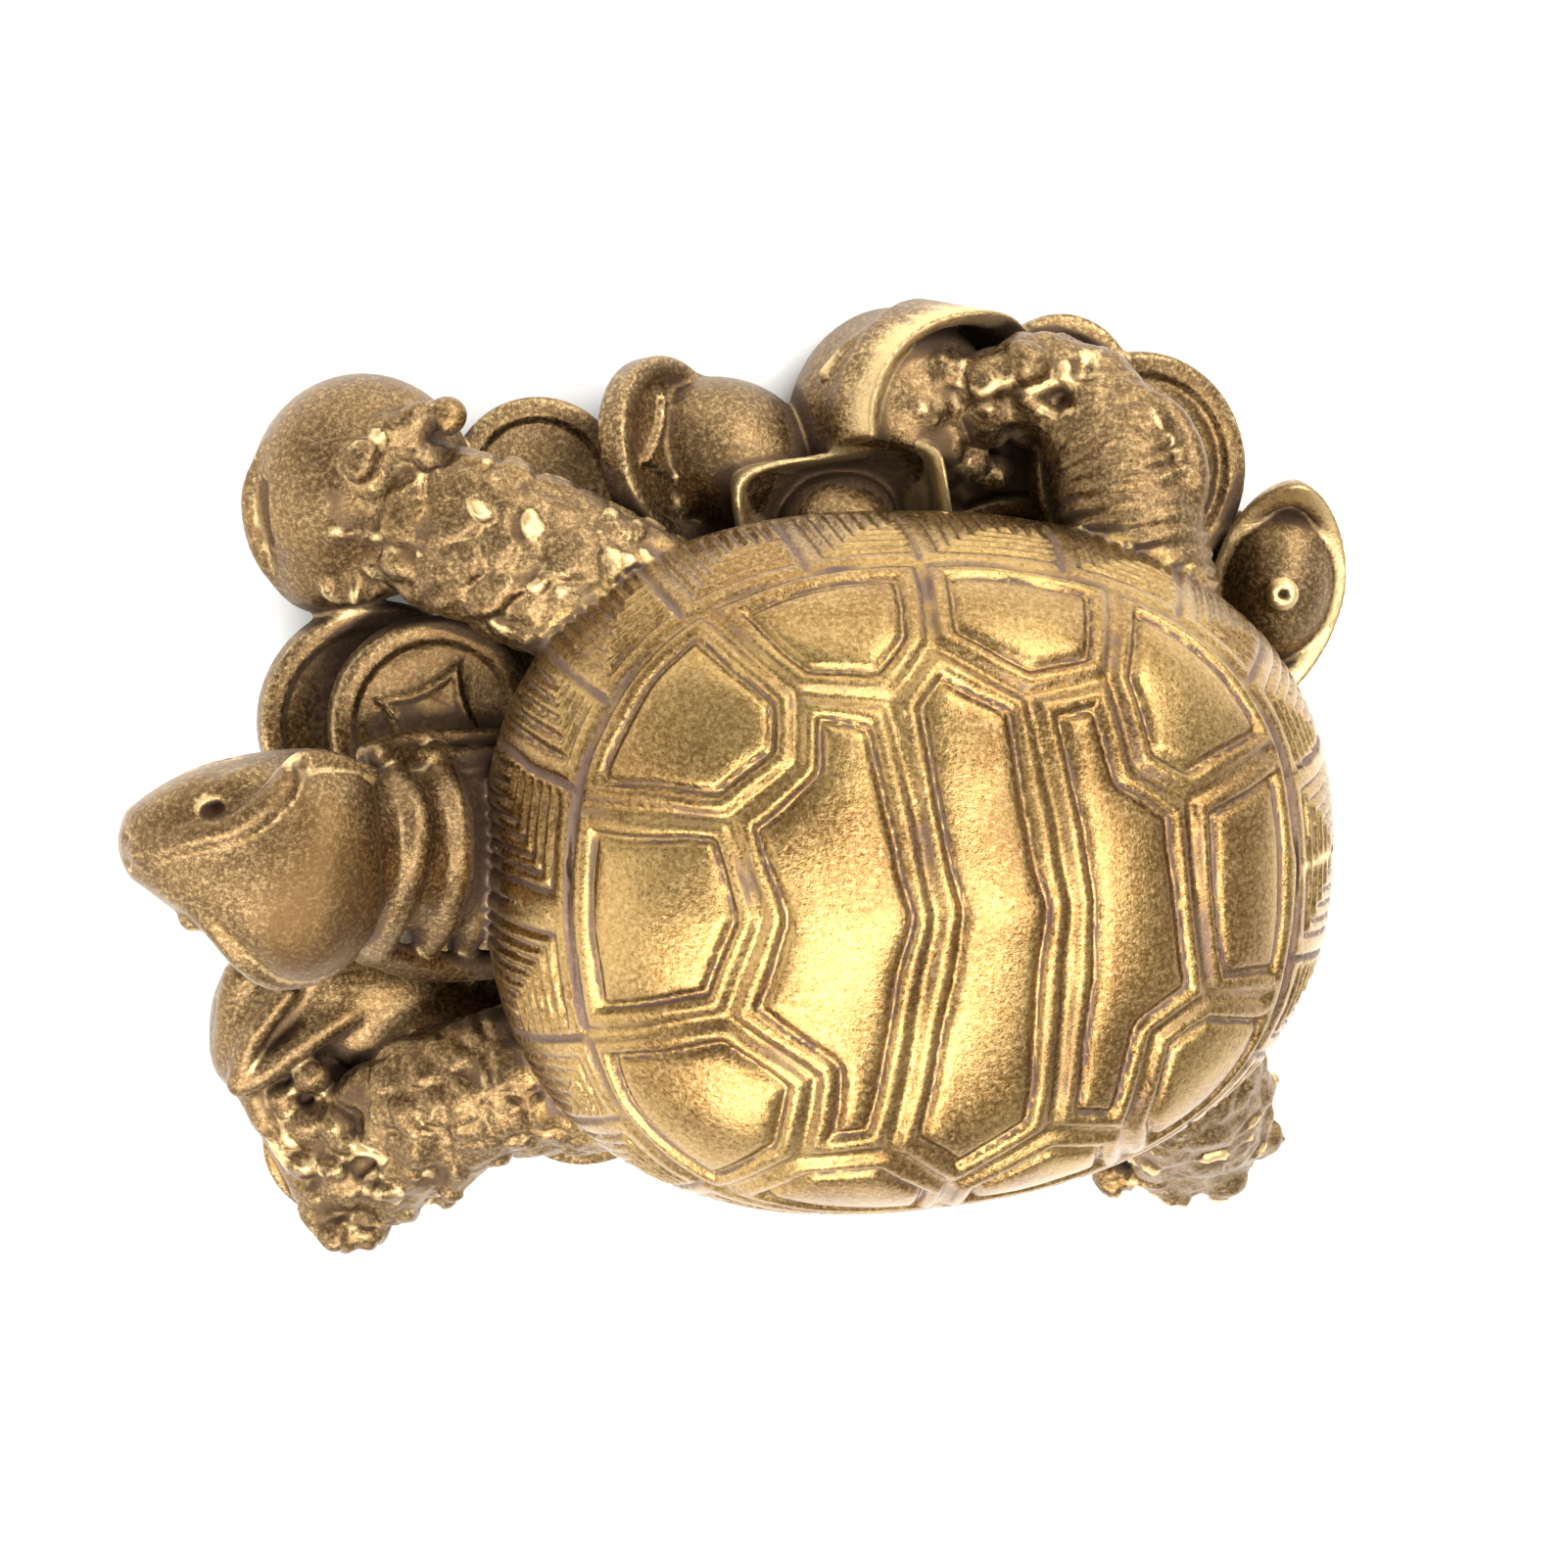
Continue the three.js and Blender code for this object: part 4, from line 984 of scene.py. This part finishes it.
# %% Skin
def skin(clay):
    field = clay.field
    inside = field < 0
    mixed = np.zeros(np.array(field.shape) - 1, bool)
    everything = np.ones(mixed.shape, bool)
    for shift in product((0, 1), repeat=3):
        corner = inside[tuple(slice(a, a + size) for a, size in zip(shift, mixed.shape))]
        mixed |= corner
        everything &= corner
    mixed &= ~everything
    cells = np.argwhere(mixed).astype(np.int32)
    number = np.full(mixed.shape, -1, np.int32)
    number[mixed] = np.arange(len(cells), dtype=np.int32)
    values = {
        shift: field[cells[:, 0] + shift[0], cells[:, 1] + shift[1], cells[:, 2] + shift[2]]
        for shift in product((0, 1), repeat=3)
    }
    total = np.zeros((len(cells), 3), np.float32)
    count = np.zeros(len(cells), np.float32)
    for axis in range(3):
        for start in product((0, 1), repeat=3):
            if start[axis]:
                continue
            end = tuple(1 if i == axis else start[i] for i in range(3))
            a, b = values[start], values[end]
            crossing = (a < 0) != (b < 0)
            share = np.where(crossing, a / np.where(crossing, a - b, 1), 0)
            for i in range(3):
                total[:, i] += np.where(crossing, share if i == axis else start[i], 0)
            count += crossing
    places = CORNER + CELL * (clay.first + cells + total / count[:, None])
    faces = []
    for axis in range(3):
        ahead = [slice(1, -1)] * 3
        ahead[axis] = slice(0, -1)
        beyond = [slice(1, -1)] * 3
        beyond[axis] = slice(1, None)
        a, b = inside[tuple(ahead)], inside[tuple(beyond)]
        edges = np.argwhere(a != b).astype(np.int32)
        outward = a[tuple(edges.T)]
        base = edges + 1
        base[:, axis] -= 1
        second, third = (axis + 1) % 3, (axis + 2) % 3
        ring = []
        for back2, back3 in ((1, 1), (0, 1), (0, 0), (1, 0)):
            cell = base.copy()
            cell[:, second] -= back2
            cell[:, third] -= back3
            ring.append(number[tuple(cell.T)])
        quads = np.stack(ring, axis=1)
        quads[~outward] = quads[~outward][:, ::-1]
        faces.append(quads)
    return places, np.concatenate(faces)


places, quads = skin(sculpture)
tell("skin:", len(places), "points", len(quads), "faces")

# %% [markdown]
# The skin has far more faces than the forms need. Decimation merges them where the surface is smooth and
# keeps them along grooves and edges.

# %% Mesh
MOST_TRIANGLES = 190000
mesh = bpy.data.meshes.new("brass_tortoise")
mesh.vertices.add(len(places))
mesh.vertices.foreach_set("co", ((places + np.array(shell_middle)) * MM).astype(np.float32).ravel())
mesh.loops.add(quads.size)
mesh.loops.foreach_set("vertex_index", quads.ravel())
mesh.polygons.add(len(quads))
mesh.polygons.foreach_set("loop_start", np.arange(0, quads.size, 4))
mesh.update(calc_edges=True)
mesh.validate()
tortoise = bpy.data.objects.new("brass_tortoise", mesh)
bpy.context.scene.collection.objects.link(tortoise)
thinner = tortoise.modifiers.new("thinner", "DECIMATE")
thinner.ratio = min(1, MOST_TRIANGLES / (2 * len(quads)))
bpy.context.view_layer.objects.active = tortoise
bpy.ops.object.modifier_apply(modifier=thinner.name)
mesh = tortoise.data
mesh.validate()
mesh.shade_smooth()
triangles = sum(len(face.vertices) - 2 for face in mesh.polygons)
tell("mesh:", triangles, "triangles")

# %% [markdown]
# ## Where the metal is worn, where dirt stays and where shade is painted
# Old brass is bright where hands rub it and dark in its hollows, with dirt and with painted shade. The clay
# knows both. A point a little way out from the skin has less clear air round it in a hollow than on open
# ground, and a point a little way in has less metal round it under a ridge. Four such masks are kept on the
# mesh.
# A fifth one marks brown stains, each at its own spot. On the crown it is partly painted shade, and at the
# right eye and between the neck and the right front leg it is painted shade.

# %% Masks from the clay
GROOVE_REACH, HOLLOW_REACH, RIDGE_REACH = 0.5, 2.2, 0.45
# Brown stains and painted shade: the crown mark is partly painted shade; the two at the right eye and the one
# between neck and right front leg are painted shade.
STAINS_AND_SHADE = [  # middle, radii and strength
    ((-30.2, 2.4, 21.4), (4.8, 6.8, 5.2), 0.9), ((-34.6, 6.2, 19.6), (3.2, 2.0, 2.0), 0.5),
    ((-34.8, 6.1, 19.5), (1.1, 0.8, 1.2), 1.0), ((4.4, -8, 24.6), (2.8, 5.2, 4.0), 0.5),
    ((3.0, 4.4, 26.4), (2.0, 3.6, 3.0), 0.5), ((9.6, 3.2, 24.4), (2.0, 3.4, 3.0), 0.45),
    ((-3.2, 3.0, 26.4), (1.6, 5.0, 3.0), 0.25),
    ((-24.4, -14.6, 8.6), (3.0, 2.6, 3.0), 0.4), ((-21.0, 9.6, 9.0), (4.6, 3.4, 4.0), 0.5),
]


def clay_distance(points):
    """Distance at any points, read between the cells."""
    spot = (points - CORNER) / CELL - sculpture.first
    spot = np.clip(spot, 0, np.array(sculpture.field.shape) - 1.001)
    base = spot.astype(np.int32)
    share = (spot - base).astype(np.float32)
    total = np.zeros(len(points), np.float32)
    for corner in product((0, 1), repeat=3):
        weight = np.prod([share[:, i] if corner[i] else 1 - share[:, i] for i in range(3)], axis=0)
        cell = base + np.array(corner)
        total += weight * sculpture.field[cell[:, 0], cell[:, 1], cell[:, 2]]
    return total


flat = np.empty(len(mesh.vertices) * 3, np.float32)
mesh.vertices.foreach_get("co", flat)
points = flat.reshape(-1, 3) / MM - np.array(shell_middle)
mesh.vertices.foreach_get("normal", flat)
normals = flat.reshape(-1, 3)
groove = 1 - clay_distance(points + GROOVE_REACH * normals) / GROOVE_REACH
# How shut in a point is: it sets the near black of dirt and painted shade in the hollows.
hollow = 1 - clay_distance(points + HOLLOW_REACH * normals) / HOLLOW_REACH
ridge = 1 + clay_distance(points - RIDGE_REACH * normals) / RIDGE_REACH
reach, _ = plan_reach(points[:, 0], points[:, 1])
on_shell = np.clip((points[:, 2] - RIM_HEIGHT + 1.6) / 0.6, 0, 1) * np.clip((1.04 - reach) / 0.02, 0, 1)
masks = np.stack([groove, hollow, ridge, on_shell], axis=1)
masks = np.clip(masks, 0, 1).astype(np.float32)
layer = mesh.color_attributes.new("wear_and_shade", "FLOAT_COLOR", "POINT")
layer.data.foreach_set("color", masks.ravel())
marks = 0.35 * unevenness(points.astype(np.float32), 2.4, 21)
stain_and_shade = np.zeros(len(points))
for middle, radii, share in STAINS_AND_SHADE:
    inside = 1.1 - np.linalg.norm((points - middle) / radii, axis=1) + marks
    stain_and_shade = np.maximum(stain_and_shade, share * np.clip(inside / 0.6, 0, 1))
spots = mesh.attributes.new("stain_and_shade", "FLOAT", "POINT")
spots.data.foreach_set("value", stain_and_shade.astype(np.float32))
print("masks, mean:", [round(float(value), 3) for value in masks.mean(axis=0)])

# %% [markdown]
# ## Antique brass
# The casting was darkened all over and then rubbed. So the colour runs from near black in the hollows, dirt
# with painted shade, over a grey-brown film in the grooves to olive gold on open ground, and pale gold on
# every ridge. The film is less metallic and rougher than the rubbed metal. A fine sandy grain from the mould
# covers everything.

# %% Node helpers
brass = bpy.data.materials.new("antique_brass")
brass.use_nodes = True
nodes, links = brass.node_tree.nodes, brass.node_tree.links
shader = nodes["Principled BSDF"]


def feed(socket, value):
    if hasattr(value, "is_linked"):
        links.new(value, socket)
    else:
        socket.default_value = value


def math_node(kind, *values):
    node = nodes.new("ShaderNodeMath")
    node.operation = kind
    for socket, value in zip(node.inputs, values):
        feed(socket, value)
    return node.outputs[0]


def ramp(value, start, end, low=0.0, high=1.0):
    node = nodes.new("ShaderNodeMapRange")
    node.interpolation_type = "SMOOTHSTEP"
    settings = {"Value": value, "From Min": start, "From Max": end, "To Min": low, "To Max": high}
    for name, setting in settings.items():
        feed(node.inputs[name], setting)
    return node.outputs["Result"]


def mixed(share, first, second):
    node = nodes.new("ShaderNodeMix")
    node.data_type = "RGBA"
    feed(node.inputs["Factor"], share)
    feed(node.inputs["A"], first)
    feed(node.inputs["B"], second)
    return node.outputs["Result"]


def grain(size, detail=4.0, roughness=0.6, stretch=(1, 1, 1)):
    """Noise on the object's own coordinates, with lumps of a size in millimetres."""
    turn = nodes.new("ShaderNodeMapping")
    turn.inputs["Scale"].default_value = stretch
    links.new(coordinates.outputs["Object"], turn.inputs["Vector"])
    noise = nodes.new("ShaderNodeTexNoise")
    noise.inputs["Scale"].default_value = 1 / (size * MM)
    noise.inputs["Detail"].default_value = detail
    noise.inputs["Roughness"].default_value = roughness
    links.new(turn.outputs["Vector"], noise.inputs["Vector"])
    return noise.outputs["Fac"]


coordinates = nodes.new("ShaderNodeTexCoord")
wear_and_shade = nodes.new("ShaderNodeAttribute")
wear_and_shade.attribute_name = "wear_and_shade"
parts = nodes.new("ShaderNodeSeparateColor")
links.new(wear_and_shade.outputs["Color"], parts.inputs["Color"])
in_groove, in_hollow, on_ridge = parts.outputs
on_shell = wear_and_shade.outputs["Alpha"]
stain_and_shade = nodes.new("ShaderNodeAttribute")
stain_and_shade.attribute_name = "stain_and_shade"
print("wear masks wired")

# %% Colour and gloss
# Near black: dirt, and painted shade in the hollows.
SHADE_AND_DIRT_BLACK = (0.062, 0.035, 0.021, 1)
GREY_FILM = (0.1, 0.062, 0.05, 1)
BROWN_FILM = (0.07, 0.038, 0.017, 1)
BROWN_GOLD = (0.155, 0.085, 0.026, 1)
OLIVE_GOLD = (0.245, 0.153, 0.052, 1)
PALE_GOLD = (0.56, 0.402, 0.19, 1)
DULL_BROWN = (0.1, 0.059, 0.028, 1)
STAIN_AND_SHADE_BROWN = (0.085, 0.045, 0.017, 1)
specks = grain(0.24, 3.0, 0.8)
clouds = grain(5.5, 3.0, 0.5)
streaks = grain(0.5, 3.0, 0.6, stretch=(1, 0.12, 1))
body = mixed(ramp(clouds, 0.38, 0.64), BROWN_GOLD, OLIVE_GOLD)
body = mixed(math_node("MULTIPLY", ramp(on_shell, 0, 1, 0.9, 0.0), ramp(clouds, 0.2, 0.5)), body, DULL_BROWN)
# Stain brown, which is painted shade in part on the crown, and wholly at the right eye and between neck and
# leg.
body = mixed(stain_and_shade.outputs["Fac"], body, STAIN_AND_SHADE_BROWN)
pale_share = ramp(stain_and_shade.outputs["Fac"], 0, 1, 0.42, 0.16)
body = mixed(math_node("MULTIPLY", ramp(specks, 0.42, 0.72), pale_share), body, PALE_GOLD)
body = mixed(math_node("MULTIPLY", ramp(specks, 0.44, 0.3), 0.5), body, BROWN_FILM)
rubbed = math_node("ADD", ramp(on_ridge, 0.12, 0.55), ramp(specks, 0.4, 0.75, -0.18, 0.3))
body = mixed(ramp(rubbed, 0.1, 0.9, 0.0, 0.9), body, PALE_GOLD)
filmed = math_node("ADD", ramp(in_groove, 0.1, 0.5), ramp(specks, 0.3, 0.7, -0.2, 0.2))
film = math_node("MULTIPLY", ramp(filmed, 0.1, 1.1), ramp(on_shell, 0, 1, 0.7, 0.85))
body = mixed(film, body, mixed(on_shell, BROWN_FILM, GREY_FILM))
# Near black in the hollows and the deepest grooves: dirt, and painted shade where shade falls.
deep = math_node("ADD", ramp(in_hollow, 0.45, 0.85), ramp(in_groove, 0.5, 0.95, 0.0, 0.6))
dark = ramp(math_node("ADD", deep, ramp(specks, 0.3, 0.7, -0.12, 0.12)), 0.2, 1.1, 0.0, 0.75)
body = mixed(dark, body, SHADE_AND_DIRT_BLACK)
links.new(body, shader.inputs["Base Color"])
dirt_and_shade = math_node("MAXIMUM", film, dark)
links.new(ramp(dirt_and_shade, 0, 1, 1.0, 0.7), shader.inputs["Metallic"])
gloss = math_node("ADD", ramp(dirt_and_shade, 0, 1, 0.3, 0.6), ramp(specks, 0.3, 0.7, -0.05, 0.09))
gloss = math_node("ADD", gloss, ramp(on_shell, 0, 1, 0.1, 0.0))
gloss = math_node("ADD", gloss, ramp(stain_and_shade.outputs["Fac"], 0, 1, 0.0, 0.14))
links.new(gloss, shader.inputs["Roughness"])
print("colours set")

# %% Grain and brush marks
fine = math_node("ADD", math_node("MULTIPLY", specks, 0.6), math_node("MULTIPLY", grain(0.14, 2.0, 0.7), 0.4))
height = math_node("ADD", fine, math_node("MULTIPLY", streaks, 0.35))
bump = nodes.new("ShaderNodeBump")
bump.inputs["Strength"].default_value = 0.5
bump.inputs["Distance"].default_value = 0.09 * MM
links.new(height, bump.inputs["Height"])
links.new(bump.outputs["Normal"], shader.inputs["Normal"])
mesh.materials.append(brass)
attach(tortoise, "root")
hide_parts("brass_turtle")
print("brass on", tortoise.name)

# %% [markdown]
# ## Studio
# The tortoise stands on white paper, in a white room with a few soft lamps. The main one is a large softbox
# over the left front, which gives the pale shine on the near slopes of the shell.

# %% Floor
bpy.ops.mesh.primitive_plane_add(size=1.6, location=(0, 0, 0))
floor = bpy.context.object
floor.name = "paper_floor"
paper = bpy.data.materials.new("paper")
paper.use_nodes = True
paper.node_tree.nodes["Principled BSDF"].inputs["Base Color"].default_value = (0.93, 0.93, 0.92, 1)
paper.node_tree.nodes["Principled BSDF"].inputs["Roughness"].default_value = 0.9
floor.data.materials.append(paper)


# %% Lamps
def softbox(name, place, size, power):
    data = bpy.data.lights.new(name, "AREA")
    data.shape = "RECTANGLE"
    data.size, data.size_y = size
    data.energy = power
    lamp = bpy.data.objects.new(name, data)
    bpy.context.scene.collection.objects.link(lamp)
    lamp.location = place
    lamp.rotation_euler = (Vector((0, 0, 0.015)) - Vector(place)).to_track_quat("-Z", "Y").to_euler()


softbox("key_softbox", (-0.22, -0.3, 0.34), (0.22, 0.16), 2.5)
softbox("top_strip", (0.06, -0.11, 0.5), (0.5, 0.04), 3.5)
softbox("back_fill", (0.25, 0.35, 0.35), (0.3, 0.3), 2.9)
softbox("nose_side", (-0.5, -0.05, 0.13), (0.5, 0.2), 1.05)
softbox("far_side", (0.0, 0.5, 0.13), (0.6, 0.2), 1.1)
world = bpy.data.worlds.new("white_room")
world.use_nodes = True
world.node_tree.nodes["Background"].inputs["Color"].default_value = (1, 1, 1, 1)
world.node_tree.nodes["Background"].inputs["Strength"].default_value = 0.9
bpy.context.scene.world = world
bpy.context.scene.view_settings.view_transform = "Standard"
print("lamps:", 5)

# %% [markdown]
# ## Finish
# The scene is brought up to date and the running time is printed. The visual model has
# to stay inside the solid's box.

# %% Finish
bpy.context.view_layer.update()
tell("finished")
